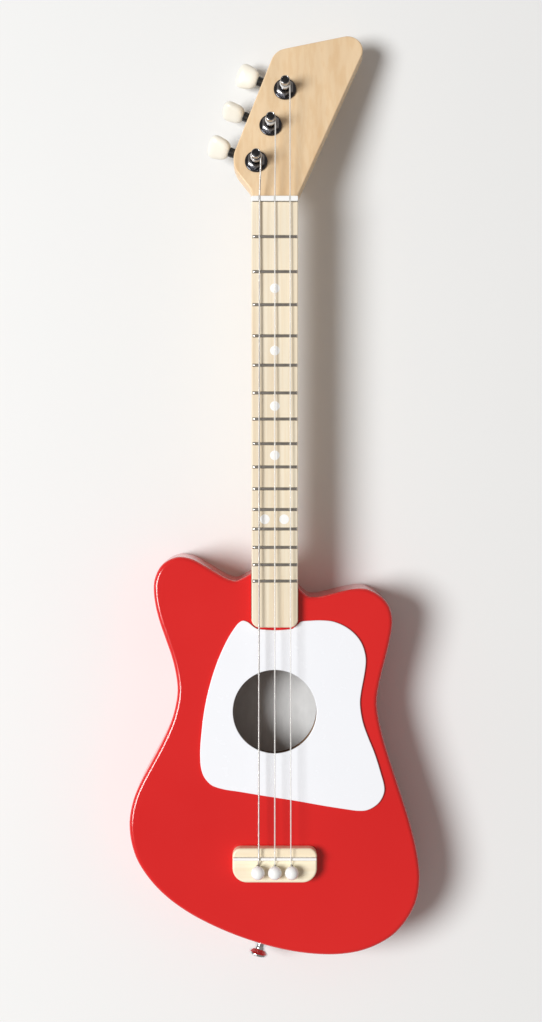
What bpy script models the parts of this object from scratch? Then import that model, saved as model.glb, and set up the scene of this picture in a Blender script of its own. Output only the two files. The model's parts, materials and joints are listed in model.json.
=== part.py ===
"""A child's small three-string guitar: hollow wooden body, bolt-on neck, tilted head, geared tuners.

The guitar lies on its back: +Z points out of the soundboard, +Y towards the head, and the origin is on
the back, under the line where the nominal scale ends. Lengths are metres.
"""
import math

import bmesh
import bpy
from mathutils import Matrix, Vector

MM = 0.001
TAU = 2 * math.pi

# ---- clearances -------------------------------------------------------------------------------------
GAP = 0.3 * MM                  # between pieces that rest on or fit into each other
STRING_GAP = 0.3 * MM           # between a string and what it passes over or winds on
REACH = 4 * MM                  # how far a cutter runs past what it cuts

# ---- scale and strings ------------------------------------------------------------------------------
SCALE_LENGTH = 406.4 * MM
FRET_COUNT = 15
STRING_RADII = (0.50 * MM, 0.45 * MM, 0.42 * MM)
NUT_SPACING = 9.4 * MM
SADDLE_SPACING = 9.95 * MM
PIN_SPACING = 10.5 * MM
NUT_STRING_HEIGHT = 1.6 * MM    # string centre over the fretboard at the nut
SADDLE_STRING_HEIGHT = 11.2 * MM  # string centre over the soundboard at the saddle
COIL_TURNS = 2.25

# ---- body -------------------------------------------------------------------------------------------
BODY_WIDTH = 182.0 * MM
BODY_TAIL = 64.6 * MM           # body below the scale line
BODY_DEPTH = 44.0 * MM
SOUNDBOARD_THICKNESS = 3.0 * MM
BACK_THICKNESS = 5.0 * MM
RIM_THICKNESS = 6.0 * MM
LINING_THICKNESS = 4.5 * MM
LINING_HEIGHT = 5.5 * MM
SOUND_HOLE_RADIUS = 26.1 * MM
SOUND_HOLE_Y = 88.9             # in the outline's reference millimetres
GUARD_THICKNESS = 1.2 * MM
BRACE_WIDTH = 8.0 * MM
BRACE_HEIGHT = 9.0 * MM

# The outline below is drawn in millimetres at this width, neck joint and tail, and scaled to the real ones.
REFERENCE_WIDTH = 182.0
REFERENCE_JOINT = 178.0
REFERENCE_TAIL = 64.6

# ---- bridge -----------------------------------------------------------------------------------------
BRIDGE_WIDTH = 52.6 * MM
BRIDGE_FRONT = 4.5 * MM         # bridge edge towards the neck, from the scale line
BRIDGE_BACK = 17.0 * MM         # bridge edge towards the tail, from the scale line
BRIDGE_HEIGHT = 8.0 * MM        # over the soundboard
SADDLE_SETBACK = 1.9 * MM       # compensation behind the scale line
SADDLE_THICKNESS = 1.9 * MM
SADDLE_SEAT = 2.6 * MM          # how deep the saddle sits in the bridge
PIN_Y = -9.8 * MM
PIN_RADIUS = 2.5 * MM
PIN_TIP_RADIUS = 2.1 * MM
PIN_BALL_RADIUS = 4.25 * MM
PIN_LENGTH = 24.0 * MM          # below the top of the bridge
PIN_FLAT = 1.75 * MM            # string groove, from the pin's axis
BRIDGE_PLATE_THICKNESS = 3.0 * MM

# ---- neck -------------------------------------------------------------------------------------------
NECK_WIDTH = 28.8 * MM
FRETBOARD_THICKNESS = 5.7 * MM
FRETBOARD_TAIL = 28.9 * MM      # fretboard past the last fret
FRETBOARD_CORNER = 5.0 * MM
NECK_DEPTH_NUT = 12.0 * MM      # wood under the fretboard
NECK_DEPTH_HEEL = 14.0 * MM
NECK_SIDE = 3.0 * MM            # straight part of the neck's side
HEEL_DEPTH = 22.0 * MM
HEEL_INSET = 5.0 * MM           # fretboard overhang past the heel
JOINT_PAST_FRET = 7.1 * MM      # top of the body past the last fret
HEEL_PAST_BODY = 7.0 * MM
NUT_THICKNESS = 3.2 * MM
NUT_SHIFT = 1.1 * MM            # compensation in front of the full scale
NUT_TOP = 1.9 * MM              # over the fretboard
FRET_WIDTH = 2.2 * MM
FRET_HEIGHT = 1.1 * MM
FRET_TANG = 0.5 * MM
FRET_TANG_DEPTH = 1.6 * MM
FRET_INSET = 0.5 * MM           # fret ends inside the fretboard's sides

# ---- head -------------------------------------------------------------------------------------------
HEAD_TILT = math.radians(12.0)
HEAD_DROP = 4.5 * MM            # head face under the fretboard at the nut
HEAD_THICKNESS = 12.0 * MM
HEAD_CHEEK = (-28.0 * MM, 21.9 * MM)       # corners of the head, across and along its face
HEAD_TIP_LEFT = (0.2 * MM, 96.9 * MM)
HEAD_TIP_RIGHT = (62.2 * MM, 110.3 * MM)
HEAD_FLARE = 4.0 * MM
POST_INSET = 15.1 * MM          # post axis from the head's left edge
FIRST_POST = 6.6 * MM           # first post from the cheek, along the edge
POST_SPACING = 25.5 * MM

# ---- tuners -----------------------------------------------------------------------------------------
POST_RADIUS = 3.0 * MM
POST_WAIST = 2.5 * MM
POST_TOP = 15.0 * MM            # over the head face
POST_PIN_RADIUS = 1.5 * MM
WASHER_RADIUS = 7.1 * MM
WASHER_THICKNESS = 1.3 * MM
HEX_RADIUS = 5.8 * MM
HEX_TOP = 4.6 * MM
SLEEVE_RADIUS = 4.6 * MM
GEAR_TEETH = 14
GEAR_MODULE = 0.6 * MM
GEAR_FACE = 3.4 * MM
TOOTH_THICKNESS = 0.70 * MM     # at the pitch line, thin enough to leave backlash
TOOTH_HALF_OUT = 0.48 * MM      # addendum
TOOTH_HALF_IN = 0.75 * MM       # dedendum
WORM_PITCH_RADIUS = 2.5 * MM
WORM_TURNS = 4
WORM_STEPS = 10
SHAFT_RADIUS = 1.4 * MM
STEM_RADIUS = 2.9 * MM
HOUSING_WALL = 1.6 * MM
HOUSING_HALF_LENGTH = 8.6 * MM
HOUSING_DEPTH = 10.8 * MM
WORM_DEPTH = 5.6 * MM           # worm axis under the back of the head
BUTTON_DISTANCE = 27.6 * MM     # button centre from the post axis
BUTTON_LENGTH = 14.0 * MM       # along the shaft
BUTTON_WIDTH = 16.2 * MM
BUTTON_THICKNESS = 6.8 * MM
BUTTON_SOCKET = 4.5 * MM
BUTTON_TURNS = (42.0, 20.0, 68.0)   # degrees at rest

# ---- fasteners --------------------------------------------------------------------------------------
NECK_SCREW_Y = (6.5 * MM, 15.5 * MM)   # from the end of the heel
NECK_SCREW_RADIUS = 1.9 * MM
NECK_SCREW_HEAD_RADIUS = 4.0 * MM
NECK_SCREW_HEAD = 2.2 * MM
NECK_SCREW_LENGTH = 36.0 * MM
STRAP_X = -5.0                  # in the outline's reference millimetres
STRAP_BUTTON_LENGTH = 12.0 * MM
STRAP_FLANGE_RADIUS = 6.2 * MM
STRAP_WAIST_RADIUS = 3.4 * MM
STRAP_SCREW_RADIUS = 1.6 * MM
STRAP_SCREW_LENGTH = 24.0 * MM  # inside the rim

# ---- what follows from them -------------------------------------------------------------------------
SOUNDBOARD_TOP = BODY_DEPTH
SOUNDBOARD_BOTTOM = BODY_DEPTH - SOUNDBOARD_THICKNESS
FRETBOARD_BOTTOM = SOUNDBOARD_TOP + GAP
FRETBOARD_TOP = FRETBOARD_BOTTOM + FRETBOARD_THICKNESS
NECK_TOP = SOUNDBOARD_TOP
HEEL_BOTTOM = NECK_TOP - HEEL_DEPTH
BRIDGE_TOP = SOUNDBOARD_TOP + BRIDGE_HEIGHT
SADDLE_STRING_Z = SOUNDBOARD_TOP + SADDLE_STRING_HEIGHT
NUT_STRING_Z = FRETBOARD_TOP + NUT_STRING_HEIGHT
NUT_FRONT = SCALE_LENGTH - NUT_SHIFT
NUT_BACK = NUT_FRONT + NUT_THICKNESS
HEAD_START = NUT_BACK + GAP
HEAD_FACE = FRETBOARD_TOP - HEAD_DROP
GEAR_RADIUS = GEAR_MODULE * GEAR_TEETH / 2
WORM_OFFSET = GEAR_RADIUS + WORM_PITCH_RADIUS
WORM_LEAD = math.pi * GEAR_MODULE
WORM_OUTER = WORM_PITCH_RADIUS + TOOTH_HALF_OUT
WORM_ROOT = WORM_PITCH_RADIUS - TOOTH_HALF_IN
GEAR_OUTER = GEAR_RADIUS + TOOTH_HALF_OUT
GEAR_ROOT = GEAR_RADIUS - TOOTH_HALF_IN


def fret_y(number):
    """Distance of a fret from the scale line."""
    return SCALE_LENGTH * 2 ** (-number / 12)


LAST_FRET = fret_y(FRET_COUNT)
FRETBOARD_END = LAST_FRET - FRETBOARD_TAIL
HEEL_END = FRETBOARD_END + HEEL_INSET
JOINT_Y = LAST_FRET + JOINT_PAST_FRET

# ---- colours: base colour, roughness, metallic --------------------------------------------------------
FINISHES = {
    "red_lacquer": ((0.62, 0.025, 0.03), 0.18, 0.0),
    "white_plastic": ((0.86, 0.88, 0.92), 0.25, 0.0),
    "ivory_plastic": ((0.84, 0.80, 0.66), 0.35, 0.0),
    "pale_maple": ((0.84, 0.74, 0.56), 0.40, 0.0),
    "maple": ((0.74, 0.54, 0.33), 0.40, 0.0),
    "inner_wood": ((0.45, 0.28, 0.16), 0.60, 0.0),
    "chrome": ((0.80, 0.80, 0.82), 0.12, 1.0),
    "dark_chrome": ((0.12, 0.12, 0.13), 0.20, 1.0),
    "nickel_silver": ((0.62, 0.60, 0.56), 0.25, 1.0),
    "brass": ((0.78, 0.57, 0.22), 0.30, 1.0),
    "steel": ((0.55, 0.55, 0.56), 0.35, 1.0),
    "nylon": ((0.88, 0.87, 0.84), 0.30, 0.0),
    "wound_string": ((0.55, 0.54, 0.53), 0.35, 1.0),
}


# ---- scene helpers ------------------------------------------------------------------------------------
def clear_scene():
    for obj in list(bpy.data.objects):
        bpy.data.objects.remove(obj, do_unlink=True)


def new_collection(name):
    collection = bpy.data.collections.new(name)
    bpy.context.scene.collection.children.link(collection)
    return collection


clear_scene()
PARTS = new_collection("three_string_guitar")
CUTTERS = new_collection("guitar_cutters")


def material(finish):
    """One Principled material for each finish."""
    if finish in bpy.data.materials:
        return bpy.data.materials[finish]
    colour, roughness, metallic = FINISHES[finish]
    made = bpy.data.materials.new(finish)
    made.use_nodes = True
    shader = made.node_tree.nodes["Principled BSDF"]
    shader.inputs["Base Color"].default_value = (*colour, 1.0)
    shader.inputs["Roughness"].default_value = roughness
    shader.inputs["Metallic"].default_value = metallic
    return made


def add_part(name, mesh, finish, matrix=None, parent=None):
    """Link a mesh as a sub-part, in place."""
    part = bpy.data.objects.new(name, mesh)
    part.data.materials.clear()
    part.data.materials.append(material(finish))
    PARTS.objects.link(part)
    if parent is not None:
        part.parent = parent
    if matrix is not None:
        part.matrix_local = matrix
    return part


def add_cutter(name, mesh, matrix=None):
    cutter = bpy.data.objects.new(name, mesh)
    CUTTERS.objects.link(cutter)
    cutter.hide_render = True
    cutter.display_type = "WIRE"
    if matrix is not None:
        cutter.matrix_world = matrix
    return cutter


def add_axis(name, matrix, parent=None):
    """An empty on a joint's axis."""
    axis = bpy.data.objects.new(name, None)
    axis.empty_display_size = 0.01
    PARTS.objects.link(axis)
    if parent is not None:
        axis.parent = parent
    axis.matrix_local = matrix
    return axis


def combine(part, other, operation):
    """A Boolean that stays on the part."""
    step = part.modifiers.new(operation.lower(), "BOOLEAN")
    step.operation = operation
    step.solver = "EXACT"
    step.object = other
    return part


def cut(part, *cutters):
    for cutter in cutters:
        combine(part, cutter, "DIFFERENCE")
    return part


# ---- mesh helpers -------------------------------------------------------------------------------------
def mesh_from(bm, name):
    bmesh.ops.recalc_face_normals(bm, faces=bm.faces)
    mesh = bpy.data.meshes.new(name)
    bm.to_mesh(mesh)
    bm.free()
    return mesh


def box_mesh(name, low, high):
    """A box from its lowest to its highest corner."""
    bm = bmesh.new()
    size = [b - a for a, b in zip(low, high)]
    centre = [(a + b) / 2 for a, b in zip(low, high)]
    bmesh.ops.create_cube(bm, size=1.0, matrix=Matrix.Translation(centre) @ Matrix.Diagonal((*size, 1.0)))
    return mesh_from(bm, name)


def cylinder_into(bm, radius, low, high, segments=16, matrix=None, top_radius=None):
    """A cylinder or cone along local Z from low to high."""
    place = Matrix.Translation((0, 0, (low + high) / 2))
    if matrix is not None:
        place = matrix @ place
    top = radius if top_radius is None else top_radius
    bmesh.ops.create_cone(bm, cap_ends=True, segments=segments, radius1=radius, radius2=top,
                          depth=high - low, matrix=place)


def cylinder_mesh(name, radius, low, high, segments=16, matrix=None):
    bm = bmesh.new()
    cylinder_into(bm, radius, low, high, segments, matrix)
    return mesh_from(bm, name)


def plate_mesh(name, loops, low, high):
    """A flat plate between two heights: the first loop is its edge and the others are holes in it."""
    curve = bpy.data.curves.new(name, "CURVE")
    curve.dimensions = "2D"
    curve.fill_mode = "BOTH"
    curve.extrude = (high - low) / 2
    for loop in loops:
        spline = curve.splines.new("POLY")
        spline.points.add(len(loop) - 1)
        for point, (x, y) in zip(spline.points, loop):
            point.co = (x, y, 0.0, 1.0)
        spline.use_cyclic_u = True
    return curve_to_mesh(curve, name, Vector((0, 0, (low + high) / 2)))


def curve_to_mesh(curve, name, shift=Vector((0, 0, 0))):
    """The evaluated curve as one welded mesh."""
    holder = bpy.data.objects.new(name, curve)
    bpy.context.scene.collection.objects.link(holder)
    graph = bpy.context.evaluated_depsgraph_get()
    mesh = bpy.data.meshes.new_from_object(holder.evaluated_get(graph))
    mesh.name = name
    bpy.data.objects.remove(holder, do_unlink=True)
    bpy.data.curves.remove(curve)
    bm = bmesh.new()
    bm.from_mesh(mesh)
    bmesh.ops.remove_doubles(bm, verts=bm.verts, dist=1e-6)
    bmesh.ops.translate(bm, verts=bm.verts, vec=shift)
    bmesh.ops.recalc_face_normals(bm, faces=bm.faces)
    bm.to_mesh(mesh)
    bm.free()
    return mesh


def turned(name, profile, finish, segments=20, parent=None, matrix=None):
    """A turned piece: a profile of (radius, height), from top to bottom, and a Screw modifier."""
    mesh = bpy.data.meshes.new(name)
    points = [(radius, 0.0, height) for radius, height in profile]
    mesh.from_pydata(points, [(i, i + 1) for i in range(len(points) - 1)], [])
    part = add_part(name, mesh, finish, matrix, parent)
    spin = part.modifiers.new("turn", "SCREW")
    spin.axis = "Z"
    spin.angle = TAU
    spin.steps = segments
    spin.render_steps = segments
    spin.use_merge_vertices = True
    spin.merge_threshold = 0.00001
    spin.use_smooth_shade = True
    return part


# ---- outline helpers ----------------------------------------------------------------------------------
def closed_curve(points, steps):
    """A smooth closed curve through the points, with equal steps between each two."""
    points = [Vector(p) for p in points]
    count = len(points)
    loop = []
    for i in range(count):
        p0, p1, p2, p3 = (points[(i + k) % count] for k in (-1, 0, 1, 2))
        t0 = 0.0
        t1 = t0 + (p1 - p0).length ** 0.5
        t2 = t1 + (p2 - p1).length ** 0.5
        t3 = t2 + (p3 - p2).length ** 0.5
        for k in range(steps):
            t = t1 + (t2 - t1) * k / steps
            a1 = p0 * ((t1 - t) / (t1 - t0)) + p1 * ((t - t0) / (t1 - t0))
            a2 = p1 * ((t2 - t) / (t2 - t1)) + p2 * ((t - t1) / (t2 - t1))
            a3 = p2 * ((t3 - t) / (t3 - t2)) + p3 * ((t - t2) / (t3 - t2))
            b1 = a1 * ((t2 - t) / (t2 - t0)) + a2 * ((t - t0) / (t2 - t0))
            b2 = a2 * ((t3 - t) / (t3 - t1)) + a3 * ((t - t1) / (t3 - t1))
            loop.append(b1 * ((t2 - t) / (t2 - t1)) + b2 * ((t - t1) / (t2 - t1)))
    return loop


def outward_normals(loop):
    """Normals of a counter-clockwise loop."""
    count = len(loop)
    normals = []
    for i in range(count):
        along = loop[(i + 1) % count] - loop[i - 1]
        normals.append(Vector((along.y, -along.x)).normalized())
    return normals


def inset(loop, distance):
    return [p - n * distance for p, n in zip(loop, outward_normals(loop))]


def circle(radius, centre=(0.0, 0.0), segments=32):
    return [(centre[0] + radius * math.cos(TAU * i / segments),
             centre[1] + radius * math.sin(TAU * i / segments)) for i in range(segments)]


def rounded_polygon(corners, steps=5):
    """Straight sides with an arc at each corner. A corner is (x, y, radius)."""
    loop = []
    count = len(corners)
    for i, (x, y, radius) in enumerate(corners):
        here = Vector((x, y))
        if radius <= 0:
            loop.append(here)
            continue
        before = (Vector(corners[i - 1][:2]) - here).normalized()
        after = (Vector(corners[(i + 1) % count][:2]) - here).normalized()
        half = before.angle(after) / 2
        centre = here + (before + after).normalized() * (radius / math.sin(half))
        start = here + before * (radius / math.tan(half)) - centre
        end = here + after * (radius / math.tan(half)) - centre
        sweep = start.angle_signed(end)
        for k in range(steps + 1):
            turn = Matrix.Rotation(-sweep * k / steps, 2)
            loop.append(centre + turn @ start)
    return loop


# ---- body outline ---------------------------------------------------------------------------------------
def body_point(x, y):
    """A point of the reference outline at the body's real size."""
    upper = JOINT_Y / (REFERENCE_JOINT * MM)
    lower = BODY_TAIL / (REFERENCE_TAIL * MM)
    wide = BODY_WIDTH / (REFERENCE_WIDTH * MM)
    return Vector((x * wide, y * (upper if y > 0 else lower))) * MM


def body_outline():
    """The edge of the body, counter-clockwise from the right side of the waist."""
    half = NECK_WIDTH / 2
    right = [(64.0, 93.2), (69.8, 123.5), (73.6, 143.0), (71.9, 153.8), (66.3, 160.9), (56.0, 165.7),
             (42.0, 164.0), (29.5, 161.0), (21.5, 160.8)]
    under_neck = [(half + 1.4 * MM, 165.5), (half * 0.49, 175.0), (-half * 0.2, 178.0),
                  (-half - 0.6 * MM, 175.0)]
    left = [(-24.3, 170.6), (-34.0, 174.2), (-50.0, 183.5), (-61.0, 185.4), (-71.0, 179.9),
            (-75.7, 167.5), (-72.5, 146.5), (-64.5, 123.0), (-60.9, 101.5), (-65.8, 79.8),
            (-78.0, 55.3), (-87.6, 36.0), (-91.2, 16.5), (-85.9, -6.0), (-68.3, -28.0)]
    tail = [(-42.0, -45.0), (-7.3, -58.4), (24.0, -64.4), (52.0, -63.0), (74.5, -52.3), (88.2, -33.0),
            (91.0, -12.0), (84.0, 21.5), (73.0, 55.5)]
    middle = [Vector((x, body_point(0, y).y)) for x, y in under_neck]
    points = [body_point(*p) for p in right] + middle + [body_point(*p) for p in left + tail]
    return closed_curve(points, 2)


def guard_outline():
    """The edge of the pickguard, with its notch around the end of the fretboard."""
    half = NECK_WIDTH / 2
    end = FRETBOARD_END
    notch = end - 1.4 * MM
    right = [(43.2, 142.6), (50.2, 137.3), (54.8, 130.5), (56.9, 121.0), (55.3, 108.5), (53.3, 95.0),
             (55.6, 80.5), (62.0, 64.0), (66.6, 49.5), (68.6, 39.5), (65.0, 31.6), (57.0, 26.9),
             (46.0, 27.4)]
    left = [(13.3, 32.9), (-22.0, 38.6), (-38.5, 42.2), (-44.8, 49.2), (-46.6, 60.0), (-45.8, 75.0),
            (-43.5, 92.5), (-38.5, 112.5), (-31.6, 130.0), (-24.1, 142.6)]
    right_of_notch = [Vector((half - 4.3 * MM, notch)), Vector((half - 1.0 * MM, end + 0.6 * MM)),
                      Vector((half + 1.8 * MM, end + 3.1 * MM)), Vector((half + 7.0 * MM, end + 3.8 * MM)),
                      Vector((half + 20.0 * MM, end + 3.7 * MM))]
    left_of_notch = [Vector((-half - 5.8 * MM, end + 3.8 * MM)), Vector((-half - 2.2 * MM, end + 2.8 * MM)),
                     Vector((-half + 0.9 * MM, end + 0.3 * MM)), Vector((-half + 4.5 * MM, notch))]
    points = right_of_notch + [body_point(*p) for p in right + left] + left_of_notch
    return closed_curve(points, 2)


OUTLINE = body_outline()
INNER_EDGE = inset(OUTLINE, RIM_THICKNESS)
BLOCK_EDGE = inset(OUTLINE, RIM_THICKNESS + GAP)
LINING_EDGE = inset(OUTLINE, RIM_THICKNESS + GAP + LINING_THICKNESS)
BRACE_EDGE = inset(OUTLINE, RIM_THICKNESS + LINING_THICKNESS + 2 * GAP)
HOLE_CENTRE = body_point(0.0, SOUND_HOLE_Y)
INSIDE_LOW = BACK_THICKNESS + GAP
INSIDE_HIGH = SOUNDBOARD_BOTTOM - GAP


def strap_axis():
    """Matrix on the rim's surface, with +Z pointing out of the tail."""
    target = body_point(STRAP_X, -1.0).x
    normals = outward_normals(OUTLINE)
    low = [i for i, p in enumerate(OUTLINE) if p.y < 0]
    nearest = min(low, key=lambda i: abs(OUTLINE[i].x - target))
    normal = normals[nearest].to_3d()
    point = Vector((*OUTLINE[nearest], BODY_DEPTH / 2))
    turn = Vector((0, 0, 1)).rotation_difference(normal)
    return Matrix.Translation(point) @ turn.to_matrix().to_4x4()


STRAP_PLACE = strap_axis()


# ---- cutters used by several pieces ---------------------------------------------------------------------
def heel_cutter():
    """The pocket that the heel of the neck sits in."""
    half = NECK_WIDTH / 2 + GAP
    low = (-half, HEEL_END - GAP, HEEL_BOTTOM - GAP)
    high = (half, JOINT_Y + HEEL_PAST_BODY + REACH, SOUNDBOARD_TOP + REACH)
    return add_cutter("heel_pocket", box_mesh("heel_pocket", low, high))


def neck_screw_places():
    return [Matrix.Translation((0, HEEL_END + along, 0)) for along in NECK_SCREW_Y]


def neck_screw_cutter(name, radius, low, high):
    bm = bmesh.new()
    for place in neck_screw_places():
        cylinder_into(bm, radius, low, high, 14, place)
    return add_cutter(name, mesh_from(bm, name))


def pin_places():
    return [Matrix.Translation(((n - 1) * PIN_SPACING, PIN_Y, BRIDGE_TOP)) for n in range(3)]


def pin_hole_cutter():
    """The three pin holes through bridge, soundboard and bridge plate."""
    bm = bmesh.new()
    for place in pin_places():
        cylinder_into(bm, PIN_RADIUS + GAP, -PIN_LENGTH, REACH, 14, place)
    return add_cutter("pin_holes", mesh_from(bm, "pin_holes"))


def string_slot_cutter():
    """The slot on the neck side of each pin hole, which the string rises through."""
    bm = bmesh.new()
    half = STRING_RADII[0] + STRING_GAP
    for place in pin_places():
        size = Matrix.Diagonal((2 * half, PIN_RADIUS + 3 * half, PIN_LENGTH + REACH, 1.0))
        centre = Matrix.Translation((0, (PIN_RADIUS + 3 * half) / 2, (REACH - PIN_LENGTH) / 2))
        bmesh.ops.create_cube(bm, size=1.0, matrix=place @ centre @ size)
    return add_cutter("string_slots", mesh_from(bm, "string_slots"))


def strap_screw_cutter():
    radius = STRAP_SCREW_RADIUS + GAP
    mesh = cylinder_mesh("strap_bore", radius, -STRAP_SCREW_LENGTH - REACH, REACH, 12)
    return add_cutter("strap_bore", mesh, STRAP_PLACE)


def core_cutter(name, loop):
    return add_cutter(name, plate_mesh(name, [loop], 0.0, BODY_DEPTH))


def lining_cutter():
    """Room for both linings in the blocks."""
    outer = inset(OUTLINE, RIM_THICKNESS / 2)
    top = plate_mesh("lining_room", [outer, BRACE_EDGE], INSIDE_HIGH - LINING_HEIGHT - GAP, BODY_DEPTH)
    back = plate_mesh("lining_room_back", [outer, BRACE_EDGE], 0.0, INSIDE_LOW + LINING_HEIGHT + GAP)
    return (add_cutter("lining_room", top), add_cutter("lining_room_back", back))


HEEL_POCKET = heel_cutter()
PIN_HOLES = pin_hole_cutter()
STRING_SLOTS = string_slot_cutter()
STRAP_BORE = strap_screw_cutter()
BLOCK_CORE = core_cutter("block_core", BLOCK_EDGE)
BRACE_CORE = core_cutter("brace_core", BRACE_EDGE)
LINING_ROOM = lining_cutter()
NECK_SCREW_BORE = neck_screw_cutter("neck_screw_bore", NECK_SCREW_RADIUS + GAP, -REACH,
                                    NECK_SCREW_LENGTH + 2 * GAP)
NECK_SCREW_RECESS = neck_screw_cutter("neck_screw_recess", NECK_SCREW_HEAD_RADIUS + GAP, -REACH,
                                      NECK_SCREW_HEAD + 2 * GAP)


# ---- body pieces ------------------------------------------------------------------------------------------
def build_soundboard():
    hole = circle(SOUND_HOLE_RADIUS + 0.5 * MM, HOLE_CENTRE, 32)
    mesh = plate_mesh("soundboard", [OUTLINE, hole], SOUNDBOARD_BOTTOM, SOUNDBOARD_TOP)
    board = add_part("soundboard", mesh, "red_lacquer")
    cut(board, HEEL_POCKET, PIN_HOLES, STRING_SLOTS)


def build_back():
    panel = add_part("back_panel", plate_mesh("back_panel", [OUTLINE], 0.0, BACK_THICKNESS), "red_lacquer")
    cut(panel, NECK_SCREW_BORE, NECK_SCREW_RECESS)


def build_rim():
    mesh = plate_mesh("side_rim", [OUTLINE, INNER_EDGE], INSIDE_LOW, INSIDE_HIGH)
    rim = add_part("side_rim", mesh, "red_lacquer")
    cut(rim, HEEL_POCKET, STRAP_BORE)


def build_linings():
    loops = [BLOCK_EDGE, LINING_EDGE]
    top = plate_mesh("soundboard_lining", loops, INSIDE_HIGH - LINING_HEIGHT, INSIDE_HIGH)
    cut(add_part("soundboard_lining", top, "inner_wood"), HEEL_POCKET)
    back = plate_mesh("back_lining", loops, INSIDE_LOW, INSIDE_LOW + LINING_HEIGHT)
    back_lining = add_part("back_lining", back, "inner_wood")
    cut(back_lining, NECK_SCREW_BORE)


def build_blocks():
    half = NECK_WIDTH / 2 + 15 * MM
    low = (-half, HEEL_END - 9 * MM, INSIDE_LOW)
    high = (half, JOINT_Y, INSIDE_HIGH)
    neck_block = add_part("neck_block", box_mesh("neck_block", low, high), "inner_wood")
    combine(neck_block, BLOCK_CORE, "INTERSECT")
    cut(neck_block, *LINING_ROOM, HEEL_POCKET, NECK_SCREW_BORE)
    centre = STRAP_PLACE.translation
    low = (centre.x - 32 * MM, -BODY_TAIL, INSIDE_LOW)
    high = (centre.x + 32 * MM, centre.y + 34 * MM, INSIDE_HIGH)
    tail_block = add_part("tail_block", box_mesh("tail_block", low, high), "inner_wood")
    combine(tail_block, BLOCK_CORE, "INTERSECT")
    cut(tail_block, *LINING_ROOM, STRAP_BORE)


def build_brace(name, middle, low, high):
    """A bar across the inside of a plate, as long as the linings allow."""
    reach = BODY_WIDTH / 2
    mesh = box_mesh(name, (-reach, middle - BRACE_WIDTH / 2, low), (reach, middle + BRACE_WIDTH / 2, high))
    combine(add_part(name, mesh, "inner_wood"), BRACE_CORE, "INTERSECT")


def build_braces():
    clear = SOUND_HOLE_RADIUS + BRACE_WIDTH / 2 + 5 * MM
    build_brace("soundboard_brace_upper", HOLE_CENTRE.y + clear, INSIDE_HIGH - BRACE_HEIGHT, INSIDE_HIGH)
    build_brace("soundboard_brace_lower", HOLE_CENTRE.y - clear, INSIDE_HIGH - BRACE_HEIGHT, INSIDE_HIGH)
    build_brace("back_brace", BRIDGE_FRONT + 20 * MM, INSIDE_LOW, INSIDE_LOW + BRACE_HEIGHT)


def build_bridge_plate():
    half = BRIDGE_WIDTH / 2 + 8 * MM
    low = (-half, -BRIDGE_BACK - 5 * MM, INSIDE_HIGH - BRIDGE_PLATE_THICKNESS)
    high = (half, BRIDGE_FRONT + 5 * MM, INSIDE_HIGH)
    cut(add_part("bridge_plate", box_mesh("bridge_plate", low, high), "inner_wood"), PIN_HOLES, STRING_SLOTS)


def build_pickguard():
    hole = circle(SOUND_HOLE_RADIUS, HOLE_CENTRE, 32)
    low = SOUNDBOARD_TOP + GAP
    mesh = plate_mesh("pickguard", [guard_outline(), hole], low, low + GUARD_THICKNESS)
    add_part("pickguard", mesh, "white_plastic")


def build_strap_button():
    """A turned knob on the tail, and the screw through it into the tail block."""
    start = 2 * GAP
    end = start + STRAP_BUTTON_LENGTH
    bore = STRAP_SCREW_RADIUS + GAP
    recess = 2.4 * MM
    rim = STRAP_FLANGE_RADIUS - 0.9 * MM
    profile = [(bore, end - recess), (3.6 * MM, end - recess), (3.6 * MM, end), (rim, end),
               (STRAP_FLANGE_RADIUS, end - 1.0 * MM), (STRAP_FLANGE_RADIUS, end - 2.6 * MM),
               (STRAP_WAIST_RADIUS, end - 4.4 * MM), (STRAP_WAIST_RADIUS, start + 3.0 * MM),
               (STRAP_FLANGE_RADIUS, start + 1.4 * MM), (STRAP_FLANGE_RADIUS, start), (bore, start)]
    profile.append(profile[0])
    turned("strap_button", profile, "chrome", 16, None, STRAP_PLACE)
    head = end - recess + GAP
    screw = [(0.0, head + 1.9 * MM), (2.0 * MM, head + 1.7 * MM), (3.2 * MM, head + 0.8 * MM), (3.2 * MM, head),
             (STRAP_SCREW_RADIUS, head), (STRAP_SCREW_RADIUS, 3 * MM - STRAP_SCREW_LENGTH),
             (0.0, -STRAP_SCREW_LENGTH)]
    turned("strap_button_screw", screw, "steel", 12, None, STRAP_PLACE)


# ---- bridge -----------------------------------------------------------------------------------------------
def build_bridge():
    half = BRIDGE_WIDTH / 2
    corners = [(-half, -BRIDGE_BACK, 9 * MM), (half, -BRIDGE_BACK, 9 * MM), (half, BRIDGE_FRONT, 5 * MM),
               (-half, BRIDGE_FRONT, 5 * MM)]
    mesh = plate_mesh("bridge", [rounded_polygon(corners)], SOUNDBOARD_TOP + GAP, BRIDGE_TOP)
    bridge = add_part("bridge", mesh, "pale_maple")
    room = SADDLE_THICKNESS / 2 + GAP
    low = (-half - REACH, -SADDLE_SETBACK - room, BRIDGE_TOP - SADDLE_SEAT - GAP)
    high = (half + REACH, -SADDLE_SETBACK + room, BRIDGE_TOP + REACH)
    slot = add_cutter("saddle_slot", box_mesh("saddle_slot", low, high))
    cut(bridge, slot, PIN_HOLES, STRING_SLOTS)


def saddle_top():
    return SADDLE_STRING_Z - STRING_RADII[0] - STRING_GAP


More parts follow.
